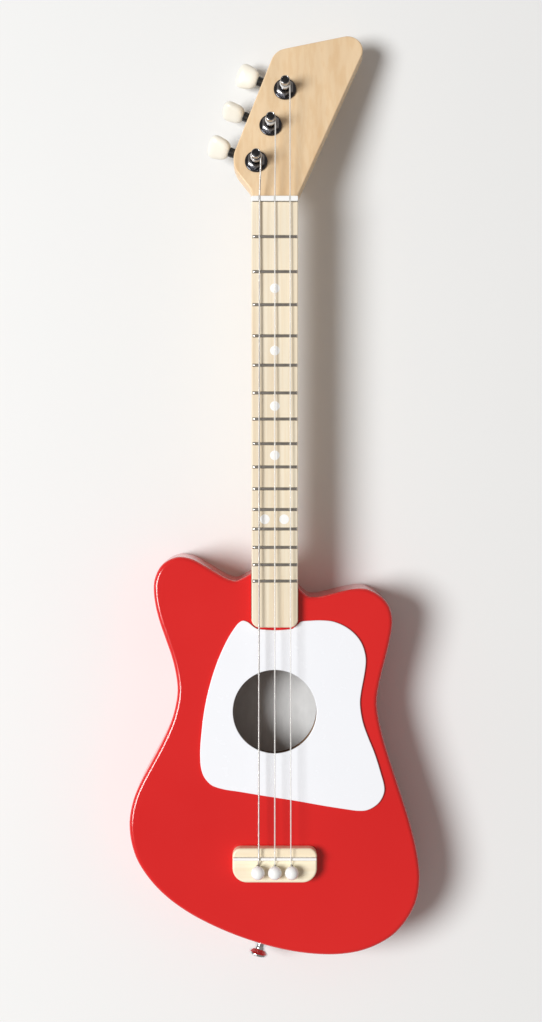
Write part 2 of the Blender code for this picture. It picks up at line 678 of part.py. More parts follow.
def build_saddle():
    """A strip with a rounded top, standing in its slot."""
    half = SADDLE_THICKNESS / 2
    low = BRIDGE_TOP - SADDLE_SEAT
    high = saddle_top()
    arch = [(half * math.cos(math.pi * i / 6), high - half + half * math.sin(math.pi * i / 6))
            for i in range(7)]
    loop = [(-half, low), (half, low)] + arch
    length = BRIDGE_WIDTH / 2 - 0.4 * MM
    mesh = plate_mesh("saddle", [loop], -length, length)
    stand = Matrix(((0, 0, 1, 0), (1, 0, 0, -SADDLE_SETBACK), (0, 1, 0, 0), (0, 0, 0, 1)))
    add_part("saddle", mesh, "white_plastic", stand)


def build_pins():
    """Three ball-headed pins; each lifts out of its hole along its own axis."""
    ball = PIN_BALL_RADIUS
    centre = ball + 0.6 * MM
    neck = math.acos(PIN_RADIUS / ball)
    arc = [(ball * math.cos(a), centre + ball * math.sin(a))
           for a in (math.pi / 2 - (math.pi / 2 + neck) * i / 9 for i in range(1, 10))]
    profile = [(0.0, centre + ball)] + arc + [(PIN_RADIUS, -BRIDGE_HEIGHT), (PIN_TIP_RADIUS, -PIN_LENGTH + 1 * MM),
                                              (PIN_TIP_RADIUS - 0.6 * MM, -PIN_LENGTH), (0.0, -PIN_LENGTH)]
    for number, place in enumerate(pin_places(), start=1):
        pin = turned(f"bridge_pin_{number}", profile, "white_plastic", 16, None, place)
        half = STRING_RADII[0] + 2 * STRING_GAP
        mesh = box_mesh("pin_groove", (-half, PIN_FLAT, -PIN_LENGTH - REACH), (half, 2 * PIN_RADIUS, 0.9 * MM))
        cut(pin, add_cutter(f"pin_groove_{number}", mesh, place))


# ---- neck ---------------------------------------------------------------------------------------------------
HEAD_PLACE = Matrix(((1, 0, 0, 0),
                     (0, math.cos(HEAD_TILT), math.sin(HEAD_TILT), HEAD_START),
                     (0, -math.sin(HEAD_TILT), math.cos(HEAD_TILT), HEAD_FACE),
                     (0, 0, 0, 1)))


def head_edge():
    """Direction of the head's left edge on its face."""
    return (Vector(HEAD_TIP_LEFT) - Vector(HEAD_CHEEK)).normalized()


def post_places():
    """Matrix of each tuner: +Z out of the head's face and +X towards its button."""
    along = head_edge()
    inward = Vector((along.y, -along.x))
    places = []
    for n in range(3):
        point = Vector(HEAD_CHEEK) + along * (FIRST_POST + POST_SPACING * n) + inward * POST_INSET
        turn = Matrix.Rotation(math.atan2(-inward.y, -inward.x), 4, "Z")
        places.append(HEAD_PLACE @ Matrix.Translation(point.to_3d()) @ turn)
    return places


POST_PLACES = post_places()


def head_outline():
    half = NECK_WIDTH / 2
    corners = [(-half, 0.0, 0), (half, 0.0, 0), (half + 0.3 * MM, 1.5 * MM, 6 * MM), (*HEAD_TIP_RIGHT, 9.6 * MM),
               (*HEAD_TIP_LEFT, 11.5 * MM), (*HEAD_CHEEK, 18 * MM), (-half, HEAD_FLARE, 6 * MM)]
    return rounded_polygon(corners)


def neck_section(y, top, bottom):
    """One cross-section of the neck: flat top, short straight sides, round back."""
    half = NECK_WIDTH / 2
    side = top - NECK_SIDE
    steps = 10
    arc = [(half * math.cos(math.pi * i / steps), side - (side - bottom) * math.sin(math.pi * i / steps))
           for i in range(steps + 1)]
    return [Vector((x, y, z)) for x, z in [(-half, top), (half, top)] + arc]


def neck_shaft_mesh():
    """A loft from the heel to the inside of the head."""
    tail = 16 * MM
    drop = math.tan(HEAD_TILT) * tail
    face = HEAD_FACE - drop
    back = face - HEAD_THICKNESS / math.cos(HEAD_TILT)
    sections = [neck_section(JOINT_Y - 2 * MM, NECK_TOP, NECK_TOP - NECK_DEPTH_HEEL),
                neck_section(NUT_FRONT - 4 * MM, NECK_TOP, NECK_TOP - NECK_DEPTH_NUT),
                neck_section(HEAD_START + 1 * MM, NECK_TOP, NECK_TOP - NECK_DEPTH_NUT),
                neck_section(HEAD_START + tail, face - 0.8 * MM, back + 1.2 * MM)]
    bm = bmesh.new()
    rings = [[bm.verts.new(p) for p in section] for section in sections]
    for first, second in zip(rings, rings[1:]):
        for i in range(len(first)):
            j = (i + 1) % len(first)
            bm.faces.new((first[i], first[j], second[j], second[i]))
    bm.faces.new(rings[0])
    bm.faces.new(list(reversed(rings[-1])))
    return mesh_from(bm, "neck_shaft")


def heel_mesh():
    """The heel as a side profile, as wide as the neck."""
    outer = JOINT_Y + HEEL_PAST_BODY
    loop = rounded_polygon([(HEEL_END, HEEL_BOTTOM, 0), (JOINT_Y + 1 * MM, HEEL_BOTTOM, 0),
                            (outer, HEEL_BOTTOM + HEEL_PAST_BODY, 4 * MM),
                            (outer + 3 * MM, NECK_TOP - 1 * MM, 0), (outer, NECK_TOP, 0), (HEEL_END, NECK_TOP, 0)])
    half = NECK_WIDTH / 2
    mesh = plate_mesh("neck_heel", [loop], -half, half)
    return mesh, Matrix(((0, 0, 1, 0), (1, 0, 0, 0), (0, 1, 0, 0), (0, 0, 0, 1)))


def build_neck():
    """Heel, shaft and head in one piece of maple."""
    mesh = plate_mesh("neck", [head_outline()], -HEAD_THICKNESS, 0.0)
    neck = add_part("neck", mesh, "maple", HEAD_PLACE)
    combine(neck, add_cutter("neck_shaft", neck_shaft_mesh()), "UNION")
    heel, stand = heel_mesh()
    combine(neck, add_cutter("neck_heel", heel, stand), "UNION")
    bm = bmesh.new()
    for place in POST_PLACES:
        cylinder_into(bm, SLEEVE_RADIUS + GAP, -HEAD_THICKNESS - REACH, REACH, 18, place)
    cut(neck, add_cutter("post_bores", mesh_from(bm, "post_bores")), NECK_SCREW_BORE)


def build_fretboard():
    half = NECK_WIDTH / 2
    corners = [(-half, FRETBOARD_END, FRETBOARD_CORNER), (half, FRETBOARD_END, FRETBOARD_CORNER),
               (half, NUT_FRONT - GAP, 0), (-half, NUT_FRONT - GAP, 0)]
    mesh = plate_mesh("fretboard", [rounded_polygon(corners)], FRETBOARD_BOTTOM, FRETBOARD_TOP)
    board = add_part("fretboard", mesh, "pale_maple")
    room = FRET_TANG / 2 + GAP
    depth = FRET_TANG_DEPTH + GAP
    bm = bmesh.new()
    for number in range(1, FRET_COUNT + 1):
        size = Matrix.Diagonal((NECK_WIDTH + 2 * REACH, 2 * room, depth + REACH, 1.0))
        centre = Matrix.Translation((0, fret_y(number), FRETBOARD_TOP + (REACH - depth) / 2))
        bmesh.ops.create_cube(bm, size=1.0, matrix=centre @ size)
    cut(board, add_cutter("fret_slots", mesh_from(bm, "fret_slots")))


def build_frets():
    """T-section wire: a round crown on the fretboard and a tang in its slot."""
    half = FRET_WIDTH / 2
    tang = FRET_TANG / 2
    crown = [(half * math.cos(math.pi * i / 5), GAP + (FRET_HEIGHT - GAP) * math.sin(math.pi * i / 5))
             for i in range(6)]
    loop = [(tang, GAP)] + crown + [(-tang, GAP), (-tang, -FRET_TANG_DEPTH), (tang, -FRET_TANG_DEPTH)]
    length = NECK_WIDTH / 2 - FRET_INSET
    mesh = plate_mesh("fret_wire", [loop], -length, length)
    for number in range(1, FRET_COUNT + 1):
        stand = Matrix(((0, 0, 1, 0), (1, 0, 0, fret_y(number)), (0, 1, 0, FRETBOARD_TOP), (0, 0, 0, 1)))
        add_part(f"fret_{number:02d}", mesh, "nickel_silver", stand)


def build_nut():
    half = NECK_WIDTH / 2
    low = (-half, NUT_FRONT, NECK_TOP + GAP)
    high = (half, NUT_BACK, FRETBOARD_TOP + NUT_TOP)
    nut = add_part("nut", box_mesh("nut", low, high), "white_plastic")
    bm = bmesh.new()
    for n, radius in enumerate(STRING_RADII):
        room = radius + STRING_GAP
        floor = NUT_STRING_Z - room
        size = Matrix.Diagonal((2 * room, NUT_THICKNESS + 2 * REACH, REACH, 1.0))
        centre = Matrix.Translation(((n - 1) * NUT_SPACING, (NUT_FRONT + NUT_BACK) / 2, floor + REACH / 2))
        bmesh.ops.create_cube(bm, size=1.0, matrix=centre @ size)
    cut(nut, add_cutter("nut_slots", mesh_from(bm, "nut_slots")))


def build_neck_screws():
    head = NECK_SCREW_HEAD_RADIUS
    low = GAP
    profile = [(0.0, NECK_SCREW_LENGTH), (NECK_SCREW_RADIUS, NECK_SCREW_LENGTH - 2.5 * MM),
               (NECK_SCREW_RADIUS, low + NECK_SCREW_HEAD), (head, low + NECK_SCREW_HEAD), (head, low + 0.8 * MM),
               (head - 1.2 * MM, low), (0.0, low)]
    for number, place in enumerate(neck_screw_places(), start=1):
        turned(f"neck_screw_{number}", profile, "steel", 14, None, place)


# ---- strings ------------------------------------------------------------------------------------------------
COIL_HEIGHT = 10.6 * MM         # top turn over the head face


def string_route(n):
    """From the pin, over the saddle and the nut, and round the tuner's post."""
    radius = STRING_RADII[n]
    pin_x = (n - 1) * PIN_SPACING
    rise_y = PIN_Y + PIN_RADIUS + 0.1 * MM
    nut_x = (n - 1) * NUT_SPACING
    saddle = Vector(((n - 1) * SADDLE_SPACING, -SADDLE_SETBACK, SADDLE_STRING_Z))
    route = [Vector((pin_x, rise_y, BRIDGE_TOP - PIN_LENGTH / 2)), Vector((pin_x, rise_y, BRIDGE_TOP - 1 * MM)),
             Vector((pin_x, rise_y + 0.35 * MM, BRIDGE_TOP + 0.2 * MM)),
             saddle + Vector((0, -1.2 * MM, -0.25 * MM)), saddle + Vector((0, 0.8 * MM, 0)),
             Vector((nut_x, NUT_FRONT + 0.5 * MM, NUT_STRING_Z)), Vector((nut_x, NUT_BACK - 0.3 * MM, NUT_STRING_Z))]
    spin = POST_WAIST + STRING_GAP + radius
    post = POST_PLACES[n]
    upright = HEAD_PLACE.to_3x3()
    steps = 12
    for i in range(int(COIL_TURNS * steps) + 1):
        angle = TAU * i / steps
        sink = (2 * radius + 0.15 * MM) * i / steps
        offset = Vector((spin * math.cos(angle), spin * math.sin(angle), COIL_HEIGHT - sink))
        route.append(post.translation + upright @ offset)
    return route


def build_strings():
    for n, radius in enumerate(STRING_RADII):
        name = f"string_{n + 1}"
        curve = bpy.data.curves.new(name, "CURVE")
        curve.dimensions = "3D"
        curve.bevel_depth = radius
        curve.bevel_resolution = 1
        curve.use_fill_caps = True
        route = string_route(n)
        spline = curve.splines.new("POLY")
        spline.points.add(len(route) - 1)
        for point, place in zip(spline.points, route):
            point.co = (*place, 1.0)
        add_part(name, curve_to_mesh(curve, name), "wound_string" if n == 0 else "nylon")


# ---- tuners -------------------------------------------------------------------------------------------------
def gear_mesh():
    """A worm wheel: a spur outline in two layers, turned a little to follow the worm's lead."""
    twist = (GEAR_FACE / 2) * (WORM_LEAD / (TAU * WORM_PITCH_RADIUS)) / GEAR_RADIUS
    half_root = TOOTH_THICKNESS / 2 + 0.16 * MM
    half_tip = TOOTH_THICKNESS / 2 - 0.14 * MM
    pitch = TAU / GEAR_TEETH
    mesh_angle = -TAU / 4 - pitch / 4   # a gap meets the worm's thread at rest
    loop = []
    for tooth in range(GEAR_TEETH):
        middle = mesh_angle + pitch * tooth
        for radius, offset in ((GEAR_ROOT, -half_root), (GEAR_OUTER, -half_tip), (GEAR_OUTER, half_tip),
                               (GEAR_ROOT, half_root)):
            angle = middle + offset / radius
            loop.append((radius * math.cos(angle), radius * math.sin(angle)))
    bore = circle(POST_PIN_RADIUS + GAP, (0.0, 0.0), 14)
    mesh = plate_mesh("gear", [loop, bore], -GEAR_FACE / 2, GEAR_FACE / 2)
    for vertex in mesh.vertices:
        turn = twist * (1 if vertex.co.z > 0 else -1)
        vertex.co = Matrix.Rotation(turn, 3, "Z") @ vertex.co
    return mesh


def worm_thread_mesh():
    """A single-start thread along Z, closed at both ends by fans to the axis."""
    half_root = TOOTH_THICKNESS / 2 + 0.16 * MM
    half_tip = TOOTH_THICKNESS / 2 - 0.14 * MM
    profile = [(WORM_ROOT, -half_root), (WORM_OUTER, -half_tip), (WORM_OUTER, half_tip), (WORM_ROOT, half_root)]
    bm = bmesh.new()
    total = WORM_TURNS * WORM_STEPS
    start = -WORM_LEAD * WORM_TURNS / 2
    rings = []
    for i in range(total + 1):
        angle = TAU * i / WORM_STEPS
        lift = start + WORM_LEAD * i / WORM_STEPS
        rings.append([bm.verts.new((r * math.cos(angle), r * math.sin(angle), lift + z)) for r, z in profile])
    for first, second in zip(rings, rings[1:]):
        for k in range(3):
            bm.faces.new((first[k], second[k], second[k + 1], first[k + 1]))
    for i in range(total - WORM_STEPS):
        lower, upper = rings[i], rings[i + WORM_STEPS]
        following, above = rings[i + 1], rings[i + 1 + WORM_STEPS]
        bm.faces.new((lower[3], following[3], above[0], upper[0]))
    low = bm.verts.new((0, 0, start - WORM_LEAD / 2))
    high = bm.verts.new((0, 0, -start + WORM_LEAD / 2))
    for i in range(WORM_STEPS):
        bm.faces.new((low, rings[i + 1][0], rings[i][0]))
        bm.faces.new((high, rings[total - WORM_STEPS + i][3], rings[total - WORM_STEPS + i + 1][3]))
    bm.faces.new((low, rings[0][0], rings[0][1], rings[0][2], rings[0][3], rings[WORM_STEPS][0]))
    last = rings[total]
    bm.faces.new((high, last[3], last[2], last[1], last[0], rings[total - WORM_STEPS][3]))
    return mesh_from(bm, "worm_thread")


def build_housing(name, place):
    """A die-cast box under the head, open towards it, which carries the post and the worm."""
    axis = add_axis(f"{name}_seat", place)
    top = -HEAD_THICKNESS - GAP
    floor = -HEAD_THICKNESS - HOUSING_DEPTH
    near = GEAR_OUTER + 0.6 * MM
    far = WORM_OFFSET + WORM_OUTER + 0.6 * MM
    wall = HOUSING_WALL
    length = HOUSING_HALF_LENGTH
    half = GEAR_OUTER + 0.6 * MM
    case = [(-length, -far - wall, 2 * MM), (length, -far - wall, 2 * MM), (length, near + wall, 4 * MM),
            (-length, near + wall, 4 * MM)]
    housing = add_part(f"{name}_housing", plate_mesh("housing", [rounded_polygon(case, 3)], floor, top), "chrome",
                       None, axis)
    inner = box_mesh("housing_room", (-half - 1.4 * MM, -far, floor + wall), (half + 1.4 * MM, near, top + REACH))
    bm = bmesh.new()
    cylinder_into(bm, POST_PIN_RADIUS + GAP, floor - REACH, floor + wall + REACH, 14)
    post_bore = mesh_from(bm, "post_seat")
    worm = worm_place()
    shaft_bore = cylinder_mesh("shaft_seat", SHAFT_RADIUS + GAP, -2 * length, 2 * length, 14)
    cut(housing, add_cutter(f"{name}_room", inner, place), add_cutter(f"{name}_post_seat", post_bore, place),
        add_cutter(f"{name}_shaft_seat", shaft_bore, place @ worm))


def worm_place():
    """Worm frame inside a tuner: +Z along the shaft, towards the button."""
    depth = -HEAD_THICKNESS - WORM_DEPTH
    return Matrix(((0, 0, 1, 0), (0, 1, 0, -WORM_OFFSET), (-1, 0, 0, depth), (0, 0, 0, 1)))


def build_bushing(name, place):
    """A washer, a hexagon and the sleeve that lines the head's bore."""
    bottom = -HEAD_THICKNESS + 0.6 * MM
    bore = POST_RADIUS + GAP
    bm = bmesh.new()
    cylinder_into(bm, WASHER_RADIUS, GAP, GAP + WASHER_THICKNESS, 24)
    bushing = add_part(f"{name}_bushing", mesh_from(bm, "bushing"), "dark_chrome", None, add_axis(f"{name}_bore", place))
    hexagon = cylinder_mesh("bushing_hex", HEX_RADIUS, GAP + WASHER_THICKNESS / 2, HEX_TOP, 6)
    sleeve = cylinder_mesh("bushing_sleeve", SLEEVE_RADIUS, bottom, GAP + WASHER_THICKNESS / 2, 18)
    combine(bushing, add_cutter(f"{name}_hex", hexagon, place), "UNION")
    combine(bushing, add_cutter(f"{name}_sleeve", sleeve, place), "UNION")
    cut(bushing, add_cutter(f"{name}_bushing_bore", cylinder_mesh("bushing_bore", bore, bottom - REACH,
                                                                  HEX_TOP + REACH, 18), place))


def build_post(name, axis):
    """The string post, with a waist for the string, a hole through it and a pin for the gear."""
    gear_top = -HEAD_THICKNESS - WORM_DEPTH + GEAR_FACE / 2 + GAP
    floor = -HEAD_THICKNESS - HOUSING_DEPTH + GAP
    profile = [(0.0, POST_TOP - 0.5 * MM), (POST_RADIUS - 0.8 * MM, POST_TOP), (POST_RADIUS, POST_TOP - 0.8 * MM),
               (POST_RADIUS, POST_TOP - 2.2 * MM), (POST_WAIST, POST_TOP - 3.2 * MM),
               (POST_WAIST, HEX_TOP + 1.8 * MM), (POST_RADIUS, HEX_TOP + 0.8 * MM), (POST_RADIUS, gear_top),
               (POST_PIN_RADIUS, gear_top), (POST_PIN_RADIUS, floor), (0.0, floor)]
    return turned(f"{name}_post", profile, "chrome", 16, axis)


def build_worm(name, axis):
    """The worm, its shaft in the housing and the stem that carries the button."""
    length = HOUSING_HALF_LENGTH
    stem_start = length + GAP
    stem_end = BUTTON_DISTANCE - BUTTON_LENGTH / 2 - GAP
    tip = stem_end + BUTTON_SOCKET
    worm = add_part(f"{name}_worm", worm_thread_mesh(), "steel", None, axis)
    bm = bmesh.new()
    cylinder_into(bm, SHAFT_RADIUS, -length, tip, 14)
    shaft = add_cutter(f"{name}_shaft", mesh_from(bm, "worm_shaft"))
    stem = add_cutter(f"{name}_stem", cylinder_mesh("worm_stem", STEM_RADIUS, stem_start, stem_end, 14))
    for piece in (shaft, stem):
        piece.parent = axis
        combine(worm, piece, "UNION")


def build_button(name, axis, turn):
    """A flat oval knob on the end of the stem."""
    half = BUTTON_WIDTH / 2
    near = BUTTON_DISTANCE - BUTTON_LENGTH / 2
    far = BUTTON_DISTANCE + BUTTON_LENGTH / 2
    corners = [(-half * 0.62, near, 3.0 * MM), (half * 0.62, near, 3.0 * MM), (half * 1.04, far, 5.5 * MM),
               (-half * 1.04, far, 5.5 * MM)]
    thick = BUTTON_THICKNESS / 2
    mesh = plate_mesh("button", [rounded_polygon(corners, 5)], -thick, thick)
    stand = Matrix.Rotation(math.radians(turn), 4, "Z") @ Matrix.Rotation(math.radians(90), 4, "X")
    button = add_part(f"{name}_button", mesh, "ivory_plastic", stand, axis)
    soften = button.modifiers.new("round", "BEVEL")
    soften.width = 1.8 * MM
    soften.segments = 2
    soften.limit_method = "ANGLE"
    soften.angle_limit = math.radians(50)
    socket = cylinder_mesh("button_socket", SHAFT_RADIUS + GAP, near - REACH, near + BUTTON_SOCKET, 14)
    cutter = add_cutter(f"{name}_socket", socket)
    cutter.parent = axis
    cut(button, cutter)


def build_tuners():
    gear = gear_mesh()
    for n, place in enumerate(POST_PLACES):
        name = f"tuner_{n + 1}"
        build_housing(name, place)
        build_bushing(name, place)
        post_axis = add_axis(f"{name}_post_axis", place)
        build_post(name, post_axis)
        level = Matrix.Translation((0, 0, -HEAD_THICKNESS - WORM_DEPTH))
        add_part(f"{name}_gear", gear, "brass", level, post_axis)
        worm_axis = add_axis(f"{name}_worm_axis", place @ worm_place())
        build_worm(name, worm_axis)
        build_button(name, worm_axis, BUTTON_TURNS[n])


def shade_round_pieces():
    for part in PARTS.objects:
        if part.type == "MESH":
            part.data.shade_smooth()
            part.data.set_sharp_from_angle(angle=math.radians(40))


build_soundboard()
build_back()
build_rim()
build_linings()
build_blocks()
build_braces()
build_bridge_plate()
build_pickguard()
build_strap_button()
build_bridge()
build_saddle()
build_pins()
build_neck()
build_fretboard()
build_frets()
build_nut()
build_neck_screws()
build_strings()
build_tuners()
shade_round_pieces()
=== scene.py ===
"""The looks of a child's three-string guitar: every visible surface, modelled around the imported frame."""
import json
import math

import bmesh
import bpy
from mathutils import Matrix, Vector
from mathutils.geometry import tessellate_polygon


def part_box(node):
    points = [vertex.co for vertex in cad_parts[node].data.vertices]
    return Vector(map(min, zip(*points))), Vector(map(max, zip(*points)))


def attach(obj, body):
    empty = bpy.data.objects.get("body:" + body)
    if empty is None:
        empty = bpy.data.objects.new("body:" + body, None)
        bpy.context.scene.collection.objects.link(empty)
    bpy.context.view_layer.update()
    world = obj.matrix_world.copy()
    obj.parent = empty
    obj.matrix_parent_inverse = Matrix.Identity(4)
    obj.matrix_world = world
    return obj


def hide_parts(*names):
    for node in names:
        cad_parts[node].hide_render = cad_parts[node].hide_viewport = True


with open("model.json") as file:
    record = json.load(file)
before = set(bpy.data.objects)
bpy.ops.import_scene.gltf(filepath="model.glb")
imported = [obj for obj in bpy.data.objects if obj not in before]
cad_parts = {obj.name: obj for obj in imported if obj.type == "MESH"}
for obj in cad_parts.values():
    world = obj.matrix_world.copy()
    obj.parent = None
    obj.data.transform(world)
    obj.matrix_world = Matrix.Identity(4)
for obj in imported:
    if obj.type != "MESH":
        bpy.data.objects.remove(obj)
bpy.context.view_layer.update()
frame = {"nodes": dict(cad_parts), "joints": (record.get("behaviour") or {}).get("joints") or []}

MM = 0.001
TAU = 2 * math.pi
UP = Vector((0, 0, 1))

# ---- sizes that the frame's boxes give ---------------------------------------------------------------
BOARD_LOW, BOARD_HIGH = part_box("soundboard")
BACK_LOW, BACK_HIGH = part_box("back_panel")
FRETBOARD_LOW, FRETBOARD_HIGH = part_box("fretboard")
NUT_LOW, NUT_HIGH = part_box("nut")
BRIDGE_LOW, BRIDGE_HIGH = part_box("bridge")
SADDLE_LOW, SADDLE_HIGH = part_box("saddle")
GUARD_LOW, GUARD_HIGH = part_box("pickguard")
HALF_NECK = FRETBOARD_HIGH.x

# ---- sizes of the finish -----------------------------------------------------------------------------
GAP = 0.3 * MM
WALL = 6.0 * MM
TOP_ROUND = 2.8 * MM
BACK_ROUND = 2.2 * MM
FRETBOARD_CORNER = 5.0 * MM
HEEL_DEPTH = 22.0 * MM
HEEL_INSET = 5.0 * MM
HEAD_THICKNESS = 12.0 * MM
STRING_RADII = (0.50 * MM, 0.45 * MM, 0.42 * MM)
SINK = 0.25 * MM                # how far a glued piece reaches into the one under it
OVERRUN = 5 * MM                # how far a cutter reaches past what it cuts
FAR = 1.0                       # well past any piece
NUT_SPACING = 9.4 * MM
SADDLE_SPACING = 9.95 * MM
NUT_STRING_Z = FRETBOARD_HIGH.z + 1.6 * MM
SADDLE_STRING_Z = BOARD_HIGH.z + 11.2 * MM
LABEL_RADIUS = 27.8 * MM
LABEL_SHIFT = (-0.9 * MM, -4 * MM)
HOLE_MARGIN = 0.5 * MM          # the board's hole is wider than the guard's
GUARD_ROUND = 0.45 * MM
FRETS = 15


# ---- mesh helpers ------------------------------------------------------------------------------------
def new_object(name, mesh):
    piece = bpy.data.objects.new(name, mesh)
    bpy.context.scene.collection.objects.link(piece)
    return piece


def mesh_from(bm, name, matrix=None):
    if matrix is not None:
        bmesh.ops.transform(bm, matrix=matrix, verts=bm.verts)
    bmesh.ops.recalc_face_normals(bm, faces=bm.faces)
    mesh = bpy.data.meshes.new(name)
    bm.to_mesh(mesh)
    bm.free()
    return mesh


def bake_modifiers(piece):
    """Replace a piece's mesh with its evaluated one."""
    graph = bpy.context.evaluated_depsgraph_get()
    mesh = bpy.data.meshes.new_from_object(piece.evaluated_get(graph))
    piece.modifiers.clear()
    piece.data = mesh
    return piece


def combine(piece, others, operation):
    """Boolean against other objects, which are used up."""
    for other in others:
        step = piece.modifiers.new("combine", "BOOLEAN")
        step.operation = operation
        step.solver = "EXACT"
        step.material_mode = "TRANSFER"
        step.object = other
    bake_modifiers(piece)
    for other in others:
        bpy.data.objects.remove(other, do_unlink=True)
    return piece


def smooth(piece, angle=32.0, weighted=True):
    """Smooth shading with creases, and flat faces that stay flat."""
    piece.data.shade_smooth()
    piece.data.set_sharp_from_angle(angle=math.radians(angle))
    if weighted:
        normals = piece.modifiers.new("normals", "WEIGHTED_NORMAL")
        normals.keep_sharp = True
    return piece


def box(name, low, high):
    bm = bmesh.new()
    size = Matrix.Diagonal((*[b - a for a, b in zip(low, high)], 1.0))
    bmesh.ops.create_cube(bm, size=1.0, matrix=Matrix.Translation((Vector(low) + Vector(high)) / 2) @ size)
    return new_object(name, mesh_from(bm, name))


def cylinder(name, radius, low, high, segments=64, matrix=None):
    bm = bmesh.new()
    bmesh.ops.create_cone(bm, cap_ends=True, segments=segments, radius1=radius, radius2=radius,
                          depth=high - low, matrix=Matrix.Translation((0, 0, (low + high) / 2)))
    return new_object(name, mesh_from(bm, name, matrix))


def area_of(loop):
    return sum(a.x * b.y - b.x * a.y for a, b in zip(loop, loop[1:] + loop[:1])) / 2


def wound(loop, counter_clockwise):
    """The loop in the asked direction."""
    return loop if (area_of(loop) > 0) == counter_clockwise else list(reversed(loop))


def inset(loop, distance):
    """The loop moved into the material, which lies on its left."""
    moved = []
    for i, here in enumerate(loop):
        before = (here - loop[i - 1]).normalized()
        after = (loop[(i + 1) % len(loop)] - here).normalized()
        left = Vector((-(before.y + after.y), before.x + after.x))
        left.normalize()
        stretch = 1 / max(0.5, math.sqrt((1 + before.dot(after)) / 2))
        moved.append(here + left * distance * stretch)
    return moved


def join_rings(bm, rings):
    """Quads from each ring to the next."""
    for first, second in zip(rings, rings[1:]):
        for i in range(len(first)):
            j = (i + 1) % len(first)
            bm.faces.new((first[i], first[j], second[j], second[i]))


def soft_plate(name, loops, low, high, round_low=0.0, round_high=0.0, matrix=None, steps=4):
    """A plate with rounded edges. The first loop is its edge and the others are holes."""
    loops = [wound([Vector(p[:2]) for p in loop], i == 0) for i, loop in enumerate(loops)]
    quarter = [math.pi / 2 * k / steps for k in range(steps + 1)]
    levels = [(0.0, low)]
    if round_low > 0:
        levels = [(round_low * (1 - math.sin(a)), low + round_low * (1 - math.cos(a))) for a in quarter]
    if round_high > 0:
        levels += [(round_high * (1 - math.cos(a)), high - round_high * (1 - math.sin(a))) for a in quarter]
    else:
        levels.append((0.0, high))
    bm = bmesh.new()
    ends = {0: [], len(levels) - 1: []}
    for loop in loops:
        rings = []
        for level, (distance, height) in enumerate(levels):
            ring_points = inset(loop, distance) if distance > 1e-9 else loop
            ring = [bm.verts.new((p.x, p.y, height)) for p in ring_points]
            rings.append(ring)
            if level in ends:
                ends[level].append(ring)
        join_rings(bm, rings)
    for groups in ends.values():
        flat = [v for ring in groups for v in ring]
        for triangle in tessellate_polygon([[v.co for v in ring] for ring in groups]):
            corners = [flat[i] for i in triangle]
            if len(set(triangle)) == 3 and bm.faces.get(corners) is None:
                bm.faces.new(corners)
    return new_object(name, mesh_from(bm, name, matrix))


def loft(name, rings, matrix=None):
    """A closed solid through rings of points."""
    bm = bmesh.new()
    rings = [[bm.verts.new(point) for point in ring] for ring in rings]
    join_rings(bm, rings)
    bm.faces.new(rings[0])
    bm.faces.new(list(reversed(rings[-1])))
    return new_object(name, mesh_from(bm, name, matrix))


def circle(radius, centre=(0.0, 0.0), segments=96):
    return [Vector((centre[0] + radius * math.cos(TAU * i / segments),
                    centre[1] + radius * math.sin(TAU * i / segments))) for i in range(segments)]


def turned(name, profile, matrix=None, segments=64):
    """A turned solid from (radius, height) points, from top to bottom."""
    bm = bmesh.new()
    rings = []
    for radius, height in profile:
        if radius < 1e-7:
            rings.append([bm.verts.new((0, 0, height))])
        else:
            rings.append([bm.verts.new((*point, height)) for point in circle(radius, segments=segments)])
    closed = len(rings[0]) > 1 and len(rings[-1]) > 1
    pairs = list(zip(rings, rings[1:])) + ([(rings[-1], rings[0])] if closed else [])
    for first, second in pairs:
        for i in range(segments):
            j = (i + 1) % segments
            if len(first) == 1:
                bm.faces.new((first[0], second[i], second[j]))
            elif len(second) == 1:
                bm.faces.new((first[i], second[0], first[j]))
            else:
                bm.faces.new((first[i], second[i], second[j], first[j]))
    return smooth(new_object(name, mesh_from(bm, name, matrix)), 40, False)


def arc_points(centre, radius, start, end, steps):
    """Points (radius, height) along an arc, angles in degrees from the horizontal."""
    angles = [math.radians(start + (end - start) * k / steps) for k in range(steps + 1)]
    return [(centre[0] + radius * math.cos(a), centre[1] + radius * math.sin(a)) for a in angles]


def corners_of(low, high, tail_radius, head_radius):
    """A rectangle's corners, with a radius for those at its tail end and one for those at its head end."""
    return [(low.x, low.y, tail_radius), (high.x, low.y, tail_radius),
            (high.x, high.y, head_radius), (low.x, high.y, head_radius)]


def rounded_polygon(corners, steps=14):
    """Straight sides with an arc at each corner. A corner is (x, y, radius)."""
    loop = []
    for i, (x, y, radius) in enumerate(corners):
        here = Vector((x, y))
        if radius <= 0:
            loop.append(here)
            continue
        before = (Vector(corners[i - 1][:2]) - here).normalized()
        after = (Vector(corners[(i + 1) % len(corners)][:2]) - here).normalized()
        half = before.angle(after) / 2
        centre = here + (before + after).normalized() * (radius / math.sin(half))
        start = here + before * (radius / math.tan(half)) - centre
        sweep = start.angle_signed(here + after * (radius / math.tan(half)) - centre)
        loop += [centre + Matrix.Rotation(-sweep * k / steps, 2) @ start for k in range(steps + 1)]
    return loop


def curve_through(points, steps):
    """A smooth closed curve through the points."""
    loop = []
    count = len(points)
    for i in range(count):
        p0, p1, p2, p3 = (points[(i + offset) % count] for offset in (-1, 0, 1, 2))
        for k in range(steps):
            t = k / steps
            loop.append(0.5 * (2 * p1 + (p2 - p0) * t + (2 * p0 - 5 * p1 + 4 * p2 - p3) * t * t
                               + (3 * p1 - p0 - 3 * p2 + p3) * t ** 3))
    return loop


